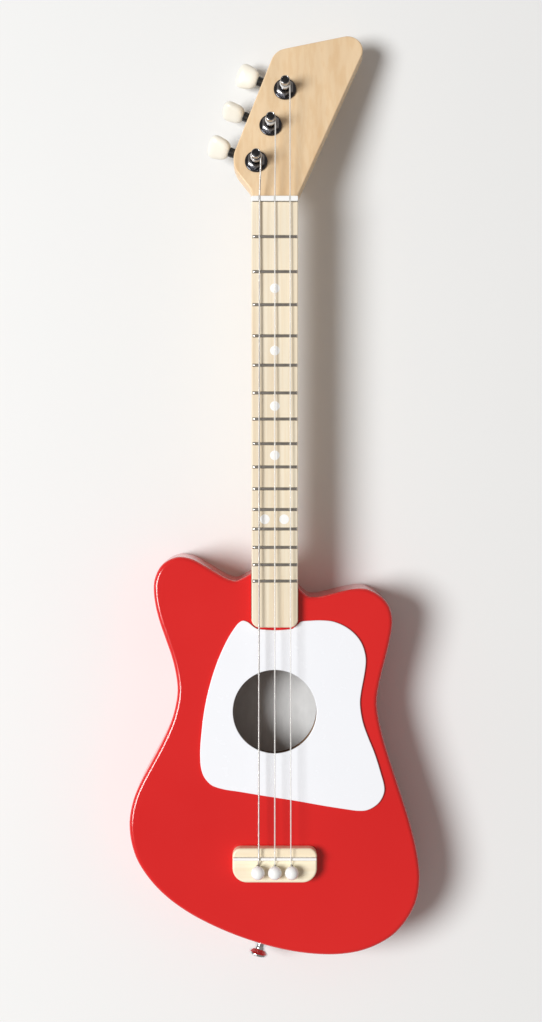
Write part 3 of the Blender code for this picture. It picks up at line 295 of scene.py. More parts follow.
def cad_loops(node, normal=UP):
    """Edges of a CAD node's furthest flat face along a normal, longest first."""
    bm = bmesh.new()
    bm.from_mesh(frame["nodes"][node].data)
    bmesh.ops.remove_doubles(bm, verts=bm.verts, dist=1e-6)
    far = max(v.co.dot(normal) for v in bm.verts)
    flat = {f for f in bm.faces if all(abs(v.co.dot(normal) - far) < 1e-5 for v in f.verts)}
    links = {}
    for edge in bm.edges:
        if len([f for f in edge.link_faces if f in flat]) == 1:
            a, b = edge.verts
            links.setdefault(a, []).append(b)
            links.setdefault(b, []).append(a)
    loops = []
    while links:
        here = next(iter(links))
        loop = []
        while here in links:
            loop.append(here.co.copy())
            onward = [v for v in links.pop(here) if v in links]
            if not onward:
                break
            here = onward[0]
        if len(loop) > 2:
            loops.append(loop)
    bm.free()
    return sorted(loops, key=lambda loop: -sum((a - b).length for a, b in zip(loop, loop[1:])))


def middle_and_radius(loop):
    centre = sum(loop, Vector()) / len(loop)
    return centre, max((p - centre).length for p in loop)


# ---- materials ---------------------------------------------------------------------------------------
class Finish:
    """A Principled material and short ways to add texture nodes to it."""

    def __init__(self, name, base, roughness, metallic=0.0, coat=0.0, coat_roughness=0.03):
        self.material = bpy.data.materials.new(name)
        self.material.use_nodes = True
        self.tree = self.material.node_tree
        self.shader = self.tree.nodes["Principled BSDF"]
        self.shader.inputs["Base Color"].default_value = (*base, 1)
        self.shader.inputs["Roughness"].default_value = roughness
        self.shader.inputs["Metallic"].default_value = metallic
        self.shader.inputs["Coat Weight"].default_value = coat
        self.shader.inputs["Coat Roughness"].default_value = coat_roughness
        self.place = self.tree.nodes.new("ShaderNodeTexCoord").outputs["Object"]

    def link(self, source, target):
        self.tree.links.new(source, target)

    def noise(self, scale, stretch=(1, 1, 1), detail=3.0, distortion=0.0, turn=(0, 0, 0)):
        mapping = self.tree.nodes.new("ShaderNodeMapping")
        mapping.inputs["Scale"].default_value = stretch
        mapping.inputs["Rotation"].default_value = turn
        self.link(self.place, mapping.inputs["Vector"])
        texture = self.tree.nodes.new("ShaderNodeTexNoise")
        texture.inputs["Scale"].default_value = scale
        texture.inputs["Detail"].default_value = detail
        texture.inputs["Distortion"].default_value = distortion
        self.link(mapping.outputs["Vector"], texture.inputs["Vector"])
        return texture.outputs["Fac"]

    def ramp(self, factor, stops):
        node = self.tree.nodes.new("ShaderNodeValToRGB")
        elements = node.color_ramp.elements
        while len(elements) < len(stops):
            elements.new(0.5)
        for element, (position, colour) in zip(elements, stops):
            element.position = position
            element.color = (*colour, 1)
        self.link(factor, node.inputs["Fac"])
        return node.outputs["Color"]

    def mix(self, factor, first, second, blend="MIX"):
        node = self.tree.nodes.new("ShaderNodeMix")
        node.data_type = "RGBA"
        node.blend_type = blend
        for value, socket in ((factor, node.inputs[0]), (first, node.inputs[6]), (second, node.inputs[7])):
            if isinstance(value, (int, float)):
                socket.default_value = value
            elif isinstance(value, tuple):
                socket.default_value = (*value, 1)
            else:
                self.link(value, socket)
        return node.outputs[2]

    def spread(self, factor, low, high):
        node = self.tree.nodes.new("ShaderNodeMapRange")
        node.inputs["To Min"].default_value = low
        node.inputs["To Max"].default_value = high
        self.link(factor, node.inputs["Value"])
        return node.outputs["Result"]

    def colour(self, output):
        self.link(output, self.shader.inputs["Base Color"])
        return self

    def roughness(self, factor, low, high):
        self.link(self.spread(factor, low, high), self.shader.inputs["Roughness"])
        return self

    def bump(self, factor, strength, distance):
        node = self.tree.nodes.new("ShaderNodeBump")
        node.inputs["Strength"].default_value = strength
        node.inputs["Distance"].default_value = distance
        self.link(factor, node.inputs["Height"])
        self.link(node.outputs["Normal"], self.shader.inputs["Normal"])
        return self


def lacquer():
    """Deep red gloss with a faint drift of colour and a little orange peel."""
    finish = Finish("red_lacquer", (0.66, 0.014, 0.012), 0.20, 0.0, 0.22, 0.04)
    drift = finish.noise(9.0, detail=2.0)
    finish.colour(finish.ramp(drift, [(0.3, (0.66, 0.013, 0.013)), (0.7, (0.71, 0.017, 0.016))]))
    finish.roughness(finish.noise(60.0, detail=4.0), 0.12, 0.22)
    return finish.bump(finish.noise(420.0, detail=1.0), 0.03, 0.0002).material


GRAIN_STRETCH = 0.035           # how much slower the grain varies along the wood than across it


def wood(name, pale, deep, line, along="Y", roughness=0.36, coat=0.12, figure=1.0):
    """Straight-grained wood: broad streaks and fine lines along one axis, and a cloudy tone."""
    finish = Finish(name, pale, roughness, 0.0, coat, 0.12)
    stretch = {"X": (GRAIN_STRETCH, 1, 1), "Y": (1, GRAIN_STRETCH, 1)}[along]
    streaks = finish.noise(95.0 * figure, stretch, 4.0, 0.6)
    broad = finish.ramp(streaks, [(0.30, deep), (0.48, pale), (0.70, tuple(min(1, c * 1.06) for c in pale))])
    fine = finish.noise(620.0 * figure, tuple(s * (0.5 if s < 1 else 1) for s in stretch), 2.0)
    lines = finish.ramp(fine, [(0.40, line), (0.56, (1, 1, 1))])
    grained = finish.mix(0.30, broad, lines, "MULTIPLY")
    cloud = finish.noise(14.0, detail=2.0)
    tone = finish.ramp(cloud, [(0.3, (0.93, 0.93, 0.93)), (0.7, (1, 1, 1))])
    finish.colour(finish.mix(1.0, grained, tone, "MULTIPLY"))
    finish.roughness(fine, roughness - 0.06, roughness + 0.10)
    return finish.bump(fine, 0.10, 0.0002).material


def plastic(name, base, roughness, coat=0.0, shade=0.95, skin=0.02):
    """Moulded plastic: a faint mottle and a very fine skin."""
    finish = Finish(name, base, roughness, 0.0, coat, 0.05)
    mottle = finish.noise(35.0, detail=3.0)
    darker = tuple(c * shade for c in base)
    finish.colour(finish.ramp(mottle, [(0.3, darker), (0.65, base)]))
    finish.roughness(finish.noise(180.0, detail=3.0), roughness - 0.05, roughness + 0.08)
    return finish.bump(finish.noise(900.0, detail=1.0), skin, 0.0001).material


def metal(name, base, roughness, shade=0.8):
    """Plated or polished metal with a little haze."""
    finish = Finish(name, base, roughness, 1.0)
    haze = finish.noise(240.0, detail=4.0)
    finish.colour(finish.ramp(haze, [(0.25, tuple(c * shade for c in base)), (0.6, base)]))
    finish.roughness(finish.noise(500.0, detail=3.0), roughness, roughness + 0.10)
    return finish.bump(finish.noise(1500.0, detail=1.0), 0.03, 0.00005).material


def clear_nylon():
    """Milky monofilament that the colour behind it shows through."""
    material = plastic("nylon", (0.90, 0.89, 0.87), 0.22, 0.3, 0.97)
    material.node_tree.nodes["Principled BSDF"].inputs["Alpha"].default_value = 0.5
    return material


def wound_wire():
    """Fine winding across the string: painted highlights on the windings and painted shade between them, as
    short bright and dark bands, over a bump of the same bands.
    """
    finish = Finish("wound_string", (0.62, 0.60, 0.57), 0.32, 1.0)
    wave = finish.tree.nodes.new("ShaderNodeTexWave")
    wave.bands_direction = "Y"
    wave.inputs["Scale"].default_value = 900.0
    finish.link(finish.place, wave.inputs["Vector"])
    # Painted highlight and shade: the metal's colour runs from darker between the windings to brighter on
    # them.
    finish.colour(finish.ramp(wave.outputs["Fac"], [(0.2, (0.56, 0.54, 0.52)), (0.8, (0.86, 0.84, 0.82))]))
    finish.roughness(finish.noise(300.0), 0.26, 0.40)
    return finish.bump(wave.outputs["Fac"], 0.4, 0.0001).material


def paper():
    """Plain paper with soft fibres."""
    finish = Finish("plain_paper", (0.84, 0.835, 0.83), 0.85)
    fibres = finish.noise(260.0, (1, 0.4, 1), 5.0)
    finish.colour(finish.ramp(fibres, [(0.3, (0.80, 0.795, 0.79)), (0.7, (0.88, 0.875, 0.87))]))
    finish.roughness(fibres, 0.78, 0.92)
    return finish.bump(fibres, 0.15, 0.0001).material


RED = lacquer()
WHITE = plastic("white_laminate", (0.925, 0.94, 0.985), 0.24, 0.25, 0.992, 0.005)
BRIGHT = plastic("white_plastic", (0.965, 0.965, 0.955), 0.28, 0.2, 0.98)
IVORY = plastic("ivory_plastic", (0.90, 0.865, 0.77), 0.34, 0.15, 0.95)
PALE = wood("pale_maple", (0.90, 0.80, 0.63), (0.84, 0.70, 0.51), (0.88, 0.78, 0.64))
TAN = wood("tan_maple", (0.88, 0.66, 0.42), (0.82, 0.585, 0.35), (0.88, 0.76, 0.60), figure=0.6)
BRIDGE_WOOD = wood("bridge_maple", (0.98, 0.875, 0.67), (0.93, 0.79, 0.58), (0.96, 0.88, 0.76), along="X")
INNER = wood("inner_wood", (0.38, 0.215, 0.115), (0.28, 0.15, 0.08), (0.55, 0.40, 0.28),
             roughness=0.62, coat=0.0)
CHROME = metal("chrome", (0.86, 0.86, 0.88), 0.07)
GREY_CHROME = metal("grey_chrome", (0.55, 0.55, 0.56), 0.14)
SMOKED = metal("smoked_chrome", (0.42, 0.42, 0.43), 0.16)
DARK = metal("black_nickel", (0.09, 0.09, 0.10), 0.14)
NICKEL = metal("fret_wire", (0.66, 0.64, 0.60), 0.16)
BRASS = metal("brass", (0.80, 0.58, 0.22), 0.26)
STEEL = metal("steel", (0.56, 0.56, 0.57), 0.26)
BLACK = plastic("black_plastic", (0.012, 0.012, 0.013), 0.30, 0.2, 0.7)
NYLON = clear_nylon()
WOUND = wound_wire()
PAPER = paper()


def finish_piece(piece, material, body="root", replaces=()):
    """Give a piece its material and the body it rides on."""
    if not piece.data.materials:
        piece.data.materials.append(material)
    elif piece.data.materials[0] is None:
        piece.data.materials[0] = material
    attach(piece, body)
    if replaces:
        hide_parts(*replaces)
    return piece


def dress(node, material, bevel=0.0, angle=35.0):
    """A CAD node that stays: its material, and softened edges."""
    piece = frame["nodes"][node]
    piece.data.materials.clear()
    piece.data.materials.append(material)
    if bevel > 0:
        weld = piece.modifiers.new("weld", "WELD")
        weld.merge_threshold = 0.00001
        soft = piece.modifiers.new("soften", "BEVEL")
        soft.width = bevel
        soft.segments = 2
        soft.limit_method = "ANGLE"
        soft.angle_limit = math.radians(angle)
        soft.harden_normals = True
    return piece


# ---- body --------------------------------------------------------------------------------------------
OUTLINE = curve_through([Vector(p[:2]) for p in wound(cad_loops("back_panel", -UP)[0], True)], 4)
HOLE_MIDDLE, HOLE_RADIUS = middle_and_radius(cad_loops("pickguard")[1])
HEEL_END = FRETBOARD_LOW.y + HEEL_INSET


def build_body():
    """One lacquered shell, rounded along both edges, with bare wood inside."""
    shell = soft_plate("body_shell", [OUTLINE], BACK_LOW.z, BOARD_HIGH.z, BACK_ROUND, TOP_ROUND, steps=6)
    shell.data.materials.append(RED)
    room = soft_plate("room", [inset(OUTLINE, WALL)], BACK_HIGH.z, BOARD_LOW.z)
    hole = cylinder("hole", HOLE_RADIUS + HOLE_MARGIN, BOARD_LOW.z - 1 * MM, BOARD_HIGH.z + 1 * MM, 96,
                    Matrix.Translation((HOLE_MIDDLE.x, HOLE_MIDDLE.y, 0)))
    half = HALF_NECK + GAP
    pocket = box("pocket", (-half, HEEL_END - GAP, BOARD_HIGH.z - HEEL_DEPTH - GAP),
                 (half, BOARD_HIGH.y + OVERRUN, BOARD_HIGH.z + OVERRUN))
    for cutter in (room, hole, pocket):
        cutter.data.materials.append(INNER)
    combine(shell, [room, hole, pocket], "DIFFERENCE")
    smooth(shell, 30)
    finish_piece(shell, RED, replaces=("soundboard", "side_rim", "back_panel"))


def build_inside():
    """Bare wood behind the hole, and a blank paper label on the back."""
    for node in ("soundboard_lining", "back_lining", "neck_block", "tail_block", "soundboard_brace_upper",
                 "soundboard_brace_lower", "back_brace", "bridge_plate"):
        dress(node, INNER)
    centre = (HOLE_MIDDLE.x + LABEL_SHIFT[0], HOLE_MIDDLE.y + LABEL_SHIFT[1])
    label = soft_plate("label_disc", [circle(LABEL_RADIUS, centre)],
                       BACK_HIGH.z + 0.02 * MM, BACK_HIGH.z + 0.25 * MM)
    finish_piece(smooth(label), PAPER)


def build_guard():
    """The white sheet round the hole, with a softened top edge."""
    outer = curve_through([Vector(p[:2]) for p in wound(cad_loops("pickguard")[0], True)], 4)
    hole = circle(HOLE_RADIUS, HOLE_MIDDLE)
    guard = soft_plate("pickguard_sheet", [outer, hole], GUARD_LOW.z - SINK, GUARD_HIGH.z, 0.0, GUARD_ROUND)
    finish_piece(smooth(guard), WHITE, replaces=("pickguard",))


def build_strap_button():
    """The turned knob at the tail, square to the rim, and the crossed head of its screw."""
    points = [v.co for v in frame["nodes"]["strap_button"].data.vertices]
    screw = [v.co for v in frame["nodes"]["strap_button_screw"].data.vertices]
    centre = sum(points, Vector()) / len(points)
    inner = max(screw, key=lambda p: (p - centre).length)
    out = Vector((centre.x - inner.x, centre.y - inner.y, 0)).normalized()
    spots = [(p - centre).dot(out) for p in points]
    start, end = min(spots), max(spots)
    place = Matrix.Translation(centre) @ UP.rotation_difference(out).to_matrix().to_4x4()
    bore = 2.1 * MM
    profile = [(bore, end - 2.4 * MM), (3.4 * MM, end - 2.4 * MM)]
    profile += arc_points((4.2 * MM, end - 0.6 * MM), 0.6 * MM, 180, 90, 4)
    profile += arc_points((5.0 * MM, end - 1.2 * MM), 1.2 * MM, 90, -40, 8)
    profile += arc_points((5.9 * MM, end - 5.2 * MM), 2.5 * MM, 130, 215, 8)
    profile += arc_points((5.6 * MM, start + 0.8 * MM), 0.7 * MM, 60, -60, 6)
    profile.append((bore, start))
    knob = turned("strap_knob", profile, place)
    finish_piece(knob, CHROME, replaces=("strap_button",))
    shank = 1.6 * MM
    profile = arc_points((0.0, end - 5.4 * MM), 4.9 * MM, 90, 52, 6)
    profile += [(3.0 * MM, end - 2.2 * MM), (shank, end - 2.3 * MM),
                (shank, start - 20 * MM), (0.0, start - 22 * MM)]
    screw_piece = turned("strap_screw", profile, place, 32)
    slot_half = 0.35 * MM
    slot_reach = 1.8 * MM
    slots = [box("slot", (-x, -y, end - 1.2 * MM), (x, y, end + 2 * MM))
             for x, y in ((slot_half, slot_reach), (slot_reach, slot_half))]
    for slot in slots:
        slot.data.transform(place)
    combine(screw_piece, slots, "DIFFERENCE")
    smooth(screw_piece, 40, False)
    finish_piece(screw_piece, STEEL, replaces=("strap_button_screw",))


# ---- bridge ------------------------------------------------------------------------------------------
BRIDGE_TAIL_CORNER = 9 * MM
BRIDGE_HEAD_CORNER = 5 * MM
BRIDGE_ROUND = 1.3 * MM
SADDLE_SIDE_GAP = 0.12 * MM
SADDLE_FLOOR_GAP = 0.2 * MM
SADDLE_ROUND = 0.35 * MM
BORE_RADIUS = 2.8 * MM
BORE_DEPTH = 12 * MM
BORE_SLOT_HALF = 0.75 * MM
BORE_SLOT_REACH = 4.2 * MM
PIN_BALL = 4.25 * MM
PIN_BALL_HEIGHT = 4.85 * MM
PIN_RADIUS = 2.45 * MM
PIN_COLLAR = 0.9 * MM
PIN_LENGTH = 24 * MM
PIN_GROOVE_HALF = 1.0 * MM
PIN_GROOVE_FLOOR = 1.75 * MM
YZX = Matrix(((0, 0, 1, 0), (1, 0, 0, 0), (0, 1, 0, 0), (0, 0, 0, 1)))      # a plate's X, Y, Z as Y, Z, X


def pin_place(n):
    """Where a pin's shank meets the bridge's top."""
    low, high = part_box(f"bridge_pin_{n}")
    return Matrix.Translation(((low.x + high.x) / 2, (low.y + high.y) / 2, BRIDGE_HIGH.z))


PIN_PLACES = [pin_place(n) for n in (1, 2, 3)]


def build_bridge():
    """A rounded block with slotted bores for the pins and a groove for the saddle."""
    corners = corners_of(BRIDGE_LOW, BRIDGE_HIGH, BRIDGE_TAIL_CORNER, BRIDGE_HEAD_CORNER)
    bridge = soft_plate("bridge_block", [rounded_polygon(corners)], BRIDGE_LOW.z - SINK, BRIDGE_HIGH.z,
                        0.0, BRIDGE_ROUND)
    bridge.data.materials.append(BRIDGE_WOOD)
    groove_low = (BRIDGE_LOW.x - FAR, SADDLE_LOW.y - SADDLE_SIDE_GAP, SADDLE_LOW.z - SADDLE_FLOOR_GAP)
    groove_high = (BRIDGE_HIGH.x + FAR, SADDLE_HIGH.y + SADDLE_SIDE_GAP, BRIDGE_HIGH.z + OVERRUN)
    cutters = [box("slot", groove_low, groove_high)]
    for place in PIN_PLACES:
        spot = place.translation
        cutters.append(cylinder("bore", BORE_RADIUS, -BORE_DEPTH, OVERRUN, 40, place))
        cutters.append(box("slot", (spot.x - BORE_SLOT_HALF, spot.y, spot.z - BORE_DEPTH),
                           (spot.x + BORE_SLOT_HALF, spot.y + BORE_SLOT_REACH, spot.z + OVERRUN)))
    combine(bridge, cutters, "DIFFERENCE")
    finish_piece(smooth(bridge, 30), BRIDGE_WOOD, replaces=("bridge",))


def build_saddle():
    """A strip with a half-round top."""
    half = (SADDLE_HIGH.y - SADDLE_LOW.y) / 2
    top = SADDLE_HIGH.z - half
    steps = 16
    angles = [math.pi * i / steps for i in range(steps + 1)]
    loop = [Vector((-half, SADDLE_LOW.z)), Vector((half, SADDLE_LOW.z))]
    loop += [Vector((half * math.cos(a), top + half * math.sin(a))) for a in angles]
    stand = Matrix.Translation((0, (SADDLE_LOW.y + SADDLE_HIGH.y) / 2, 0)) @ YZX
    saddle = soft_plate("saddle_strip", [loop], SADDLE_LOW.x, SADDLE_HIGH.x,
                        SADDLE_ROUND, SADDLE_ROUND, stand)
    finish_piece(smooth(saddle, 40), BRIGHT, replaces=("saddle",))


def build_pins():
    """Ball-headed pins with a collar, a taper and a string groove."""
    profile = [(0.0, PIN_BALL_HEIGHT + PIN_BALL)]
    profile += arc_points((0, PIN_BALL_HEIGHT), PIN_BALL, 86, -50, 26)
    profile += [(PIN_RADIUS, PIN_COLLAR), (PIN_RADIUS, -8 * MM), (2.1 * MM, -23 * MM),
                (1.6 * MM, -PIN_LENGTH), (0.0, -PIN_LENGTH)]
    for n, place in enumerate(PIN_PLACES, start=1):
        pin = turned(f"pin_{n}", profile, place, 48)
        pin.data.materials.append(BRIGHT)
        spot = place.translation
        groove = box("groove", (spot.x - PIN_GROOVE_HALF, spot.y + PIN_GROOVE_FLOOR, spot.z - 30 * MM),
                     (spot.x + PIN_GROOVE_HALF, spot.y + 6 * MM, spot.z + PIN_COLLAR))
        combine(pin, [groove], "DIFFERENCE")
        finish_piece(smooth(pin, 40, False), BRIGHT, f"pin_{n}", (f"bridge_pin_{n}",))


# ---- neck --------------------------------------------------------------------------------------------
JOINTS = {joint["name"]: joint for joint in frame["joints"]}
HEAD_NORMAL = Vector(JOINTS["tuner_1_post_turn"]["axis"]).normalized()
POSTS = [Vector(JOINTS[f"tuner_{n}_post_turn"]["pos_m"]) for n in (1, 2, 3)]
WORMS = [Vector(JOINTS[f"tuner_{n}_button_turn"]["pos_m"]) for n in (1, 2, 3)]
BUTTON_AXIS = Vector(JOINTS["tuner_1_button_turn"]["axis"]).normalized()
HEAD_ALONG = HEAD_NORMAL.cross(Vector((1, 0, 0))).normalized()
HEAD_TURN = Matrix((Vector((1, 0, 0)), HEAD_ALONG, HEAD_NORMAL)).transposed()
POST_BORE = 4.9 * MM
SHAFT_DEPTH = 12 * MM           # under the fretboard, at the nut
HEEL_END_Y = 185.0 * MM         # the heel's end outside the body
BLEND_STEPS = 5
BLEND_STEP = 3.2 * MM
BLEND_HOLLOW = 1.2 * MM


def head_matrix():
    """X across the head, Y along its face towards the tip, Z out of it, from the back of the nut."""
    start_y = NUT_HIGH.y + GAP
    drop = (start_y - POSTS[0].y) * HEAD_NORMAL.y / HEAD_NORMAL.z
    return Matrix.Translation((0, start_y, POSTS[0].z - drop)) @ HEAD_TURN.to_4x4()


HEAD_PLACE = head_matrix()
HEAD_CORNERS = [(-HALF_NECK, 0.0, 0), (HALF_NECK, 0.0, 0), (HALF_NECK + 0.3 * MM, 1.5 * MM, 6 * MM),
                (62.2 * MM, 110.3 * MM, 9.6 * MM), (0.2 * MM, 96.9 * MM, 11.5 * MM),
                (-28.0 * MM, 21.9 * MM, 18 * MM), (-HALF_NECK, 4.0 * MM, 6 * MM)]


def neck_section(y, top, bottom, half=HALF_NECK, side=3.0 * MM, steps=28):
    """Flat top, short straight sides and a round back."""
    line = top - side
    points = [Vector((-half, y, top)), Vector((half, y, top))]
    for i in range(steps + 1):
        angle = math.pi * i / steps
        lean = math.copysign(abs(math.cos(angle)) ** 0.9, math.cos(angle))
        points.append(Vector((half * lean, y, line - (line - bottom) * math.sin(angle) ** 0.92)))
    return points


def neck_shaft():
    """From inside the heel to the head, whose thickness its round back runs into."""
    top = BOARD_HIGH.z
    tilt = math.atan2(HEAD_NORMAL.y, HEAD_NORMAL.z)
    start = HEAD_PLACE.translation
    stations = [(BOARD_HIGH.y - 12 * MM, top, top - 14 * MM), (NUT_LOW.y - 60 * MM, top, top - 12.4 * MM),
                (NUT_LOW.y - 4 * MM, top, top - SHAFT_DEPTH)]
    for k in range(BLEND_STEPS + 1):
        run = 1 * MM + k * BLEND_STEP
        face = start.z - run * math.tan(tilt)
        back = face - HEAD_THICKNESS / math.cos(tilt)
        blend = k / BLEND_STEPS
        bottom = (1 - blend) * (top - SHAFT_DEPTH) + blend * (back + 1.5 * MM)
        bottom -= BLEND_HOLLOW * math.sin(math.pi * blend)
        stations.append((start.y + run, min(top, face - 1.2 * MM), bottom))
    return loft("shaft", [neck_section(*station) for station in stations])


def neck_heel():
    """The block that fills the body's pocket and slopes up to the shaft."""
    top = BOARD_HIGH.z
    low = top - HEEL_DEPTH
    profile = rounded_polygon([(HEEL_END, low, 0), (HEEL_END_Y - 6 * MM, low, 2 * MM),
                               (HEEL_END_Y, low + 7 * MM, 6 * MM), (HEEL_END_Y + 4 * MM, top - 1 * MM, 0),
                               (HEEL_END_Y, top, 0), (HEEL_END, top, 0)])
    return soft_plate("heel", [profile], -HALF_NECK, HALF_NECK, 0.8 * MM, 0.8 * MM, YZX)


def build_neck():
    """Heel, shaft and head as one piece of maple."""
    head = soft_plate("neck_wood", [rounded_polygon(HEAD_CORNERS)], -HEAD_THICKNESS, 0.0,
                      1.6 * MM, 1.0 * MM, HEAD_PLACE)
    others = [neck_shaft(), neck_heel()]
    for part in (head, *others):
        part.data.materials.append(TAN)
    combine(head, others, "UNION")
    turn = HEAD_NORMAL.to_track_quat("Z", "Y").to_matrix().to_4x4()
    bores = [cylinder("bore", POST_BORE, -20 * MM, OVERRUN, 48, Matrix.Translation(post) @ turn)
             for post in POSTS]
    combine(head, bores, "DIFFERENCE")
    finish_piece(smooth(head, 30), TAN, replaces=("neck",))


def build_fretboard():
    """The long pale board, rounded at its end on the body."""
    corners = corners_of(Vector((-HALF_NECK, FRETBOARD_LOW.y)), Vector((HALF_NECK, FRETBOARD_HIGH.y)),
                         FRETBOARD_CORNER, 0)
    board = soft_plate("fretboard_wood", [rounded_polygon(corners)], FRETBOARD_LOW.z - SINK, FRETBOARD_HIGH.z,
                       0.0, 0.7 * MM)
    finish_piece(smooth(board, 30), PALE, replaces=("fretboard",))


FRET_YS = [0.0] + [sum((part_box(f"fret_{n:02d}")[k].y for k in (0, 1))) / 2 for n in range(1, FRETS + 1)]
# Distance from the wire's end, and the share of its height there.
FRET_SLOPE = ((0.0, 0.05), (0.25 * MM, 0.45), (0.8 * MM, 0.86), (1.5 * MM, 1.0))
FRET_STEPS = 14


def build_frets():
    """Half-round wire with sloped ends."""
    arch = [math.pi * k / FRET_STEPS for k in range(FRET_STEPS + 1)]
    for number in range(1, FRETS + 1):
        low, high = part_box(f"fret_{number:02d}")
        half = (high.y - low.y) / 2
        rise = high.z - FRETBOARD_HIGH.z
        stations = [(low.x + run, share) for run, share in FRET_SLOPE]
        stations += [(high.x - run, share) for run, share in reversed(FRET_SLOPE)]
        rings = [[(x, FRET_YS[number] + half * math.cos(a), FRETBOARD_HIGH.z + rise * share * math.sin(a))
                  for a in arch] for x, share in stations]
        wire = loft(f"fret_wire_{number:02d}", rings)
        finish_piece(smooth(wire, 50, False), NICKEL, replaces=(f"fret_{number:02d}",))


DOT_RADIUS = 3.0 * MM
DOT_DEPTH = 0.5 * MM
PAIR_XS = (-6.2 * MM, 5.8 * MM)


def build_dots():
    """White dots let into the fretboard: one before each of four frets, and two before the twelfth."""
    spots = [(0.0, n) for n in (3, 5, 7, 9)] + [(x, 12) for x in PAIR_XS]
    profile = [(0.0, 0.06 * MM), (DOT_RADIUS * 0.8, 0.055 * MM), (DOT_RADIUS, 0.02 * MM),
               (DOT_RADIUS, -DOT_DEPTH), (0.0, -DOT_DEPTH)]
    for count, (x, n) in enumerate(spots, start=1):
        y = (FRET_YS[n] + FRET_YS[n - 1]) / 2
        dot = turned(f"dot_{count}", profile, Matrix.Translation((x, y, FRETBOARD_HIGH.z)), 40)
        finish_piece(dot, BRIGHT)


NUT_CORNER = 0.7 * MM           # wider than NUT_ROUND, so that the edge's inset doesn't cross itself
NUT_ROUND = 0.4 * MM
NUT_SLOT_GAP = 0.12 * MM


def build_nut():
    """A slotted white block that the strings cross at the head."""
    corners = corners_of(NUT_LOW, NUT_HIGH, NUT_CORNER, NUT_CORNER)
    nut = soft_plate("nut_block", [rounded_polygon(corners, 5)], NUT_LOW.z, NUT_HIGH.z, 0.0, NUT_ROUND)
    nut.data.materials.append(BRIGHT)
    slots = []
    for n, radius in enumerate(STRING_RADII):
        x = (n - 1) * NUT_SPACING
        room = radius + NUT_SLOT_GAP
        slots.append(box("slot", (x - room, NUT_LOW.y - 1 * MM, NUT_STRING_Z - room),
                         (x + room, NUT_HIGH.y + 1 * MM, FAR)))
    combine(nut, slots, "DIFFERENCE")
    finish_piece(smooth(nut, 30), BRIGHT, replaces=("nut",))


# ---- strings -----------------------------------------------------------------------------------------
POST_WAIST = 2.5 * MM
COIL_TURNS = 2.25
COIL_STEPS = 40
COIL_TOP = 10.6 * MM            # above the head's face
COIL_GAP = 0.06 * MM


def string_route(n):
    """From its pin's bore over the saddle, through the nut and round its post."""
    radius = STRING_RADII[n]
    pin = PIN_PLACES[n].translation
    rise = pin.y + 2.6 * MM
    saddle = Vector(((n - 1) * SADDLE_SPACING, (SADDLE_LOW.y + SADDLE_HIGH.y) / 2, SADDLE_STRING_Z))
    nut_x = (n - 1) * NUT_SPACING
    route = [Vector((pin.x, rise, pin.z - BORE_DEPTH)),
             Vector((pin.x, rise, pin.z - 1.2 * MM)),
             Vector((pin.x, rise + 0.1 * MM, pin.z - 0.3 * MM)),
             Vector((pin.x, rise + 0.5 * MM, pin.z + 0.4 * MM)),
             saddle + Vector((0, -1.3 * MM, -0.40 * MM)),
             saddle + Vector((0, -0.6 * MM, -0.08 * MM)),
             saddle + Vector((0, 0.4 * MM, 0.02 * MM)),
             saddle + Vector((0, 1.2 * MM, -0.01 * MM)),
             Vector((nut_x, NUT_LOW.y + 0.5 * MM, NUT_STRING_Z)),
             Vector((nut_x, NUT_HIGH.y - 0.6 * MM, NUT_STRING_Z)),
             Vector((nut_x, NUT_HIGH.y - 0.1 * MM, NUT_STRING_Z - 0.06 * MM))]
    spin = POST_WAIST + COIL_GAP + radius
    for i in range(int(COIL_TURNS * COIL_STEPS) + 1):
        angle = TAU * i / COIL_STEPS
        sink = (2 * radius + 0.05 * MM) * i / COIL_STEPS
        around = Vector((spin * math.cos(angle), spin * math.sin(angle), COIL_TOP - sink))
        route.append(POSTS[n] + HEAD_TURN @ around)
    return route


def build_strings():
    """One wound string and two of clear nylon."""
    for n, radius in enumerate(STRING_RADII):
        curve = bpy.data.curves.new(f"string_wire_{n + 1}", "CURVE")
        curve.dimensions = "3D"
        curve.bevel_depth = radius
        curve.bevel_resolution = 4
        curve.use_fill_caps = True
        spline = curve.splines.new("POLY")
        route = string_route(n)
        spline.points.add(len(route) - 1)
        for point, place in zip(spline.points, route):
            point.co = (*place, 1.0)
        holder = new_object("string", curve)
        graph = bpy.context.evaluated_depsgraph_get()
        mesh = bpy.data.meshes.new_from_object(holder.evaluated_get(graph))
        bpy.data.objects.remove(holder, do_unlink=True)
        string = new_object(f"string_wire_{n + 1}", mesh)
        material, slot = (WOUND, "wound_string") if n == 0 else (NYLON, "nylon")
        string.data.materials.clear()
        finish_piece(smooth(string, 60, False), material, replaces=(f"string_{n + 1}",))


# ---- tuners -----------------------
# Heights are above the head's face, and a button's are along its shaft.
POST_TOP = 15.0 * MM
POST_RADIUS = 2.95 * MM
POST_FOOT = -22.0 * MM
HEX_RADIUS = 5.8 * MM
HEX_TURN = 0.35                 # radians
HEX_MIDDLE = 3.0 * MM
HEX_DEPTH = 3.0 * MM
REST_TURNS = (42.0, 20.0, 68.0)  # degrees that each button rests away from wide-side-up
BUTTON_MIDDLE = 27.6 * MM
BUTTON_HALF = 7.3 * MM
BUTTON_WIDE = 8.8 * MM
BUTTON_THICK = 4.0 * MM
STEM_BORE = 1.5 * MM
HOUSING_SCREW_XS = (-6.6 * MM, 6.6 * MM)
HOUSING_SCREW_Y = 4.2 * MM
HOUSING_HEIGHT = 11.6 * MM


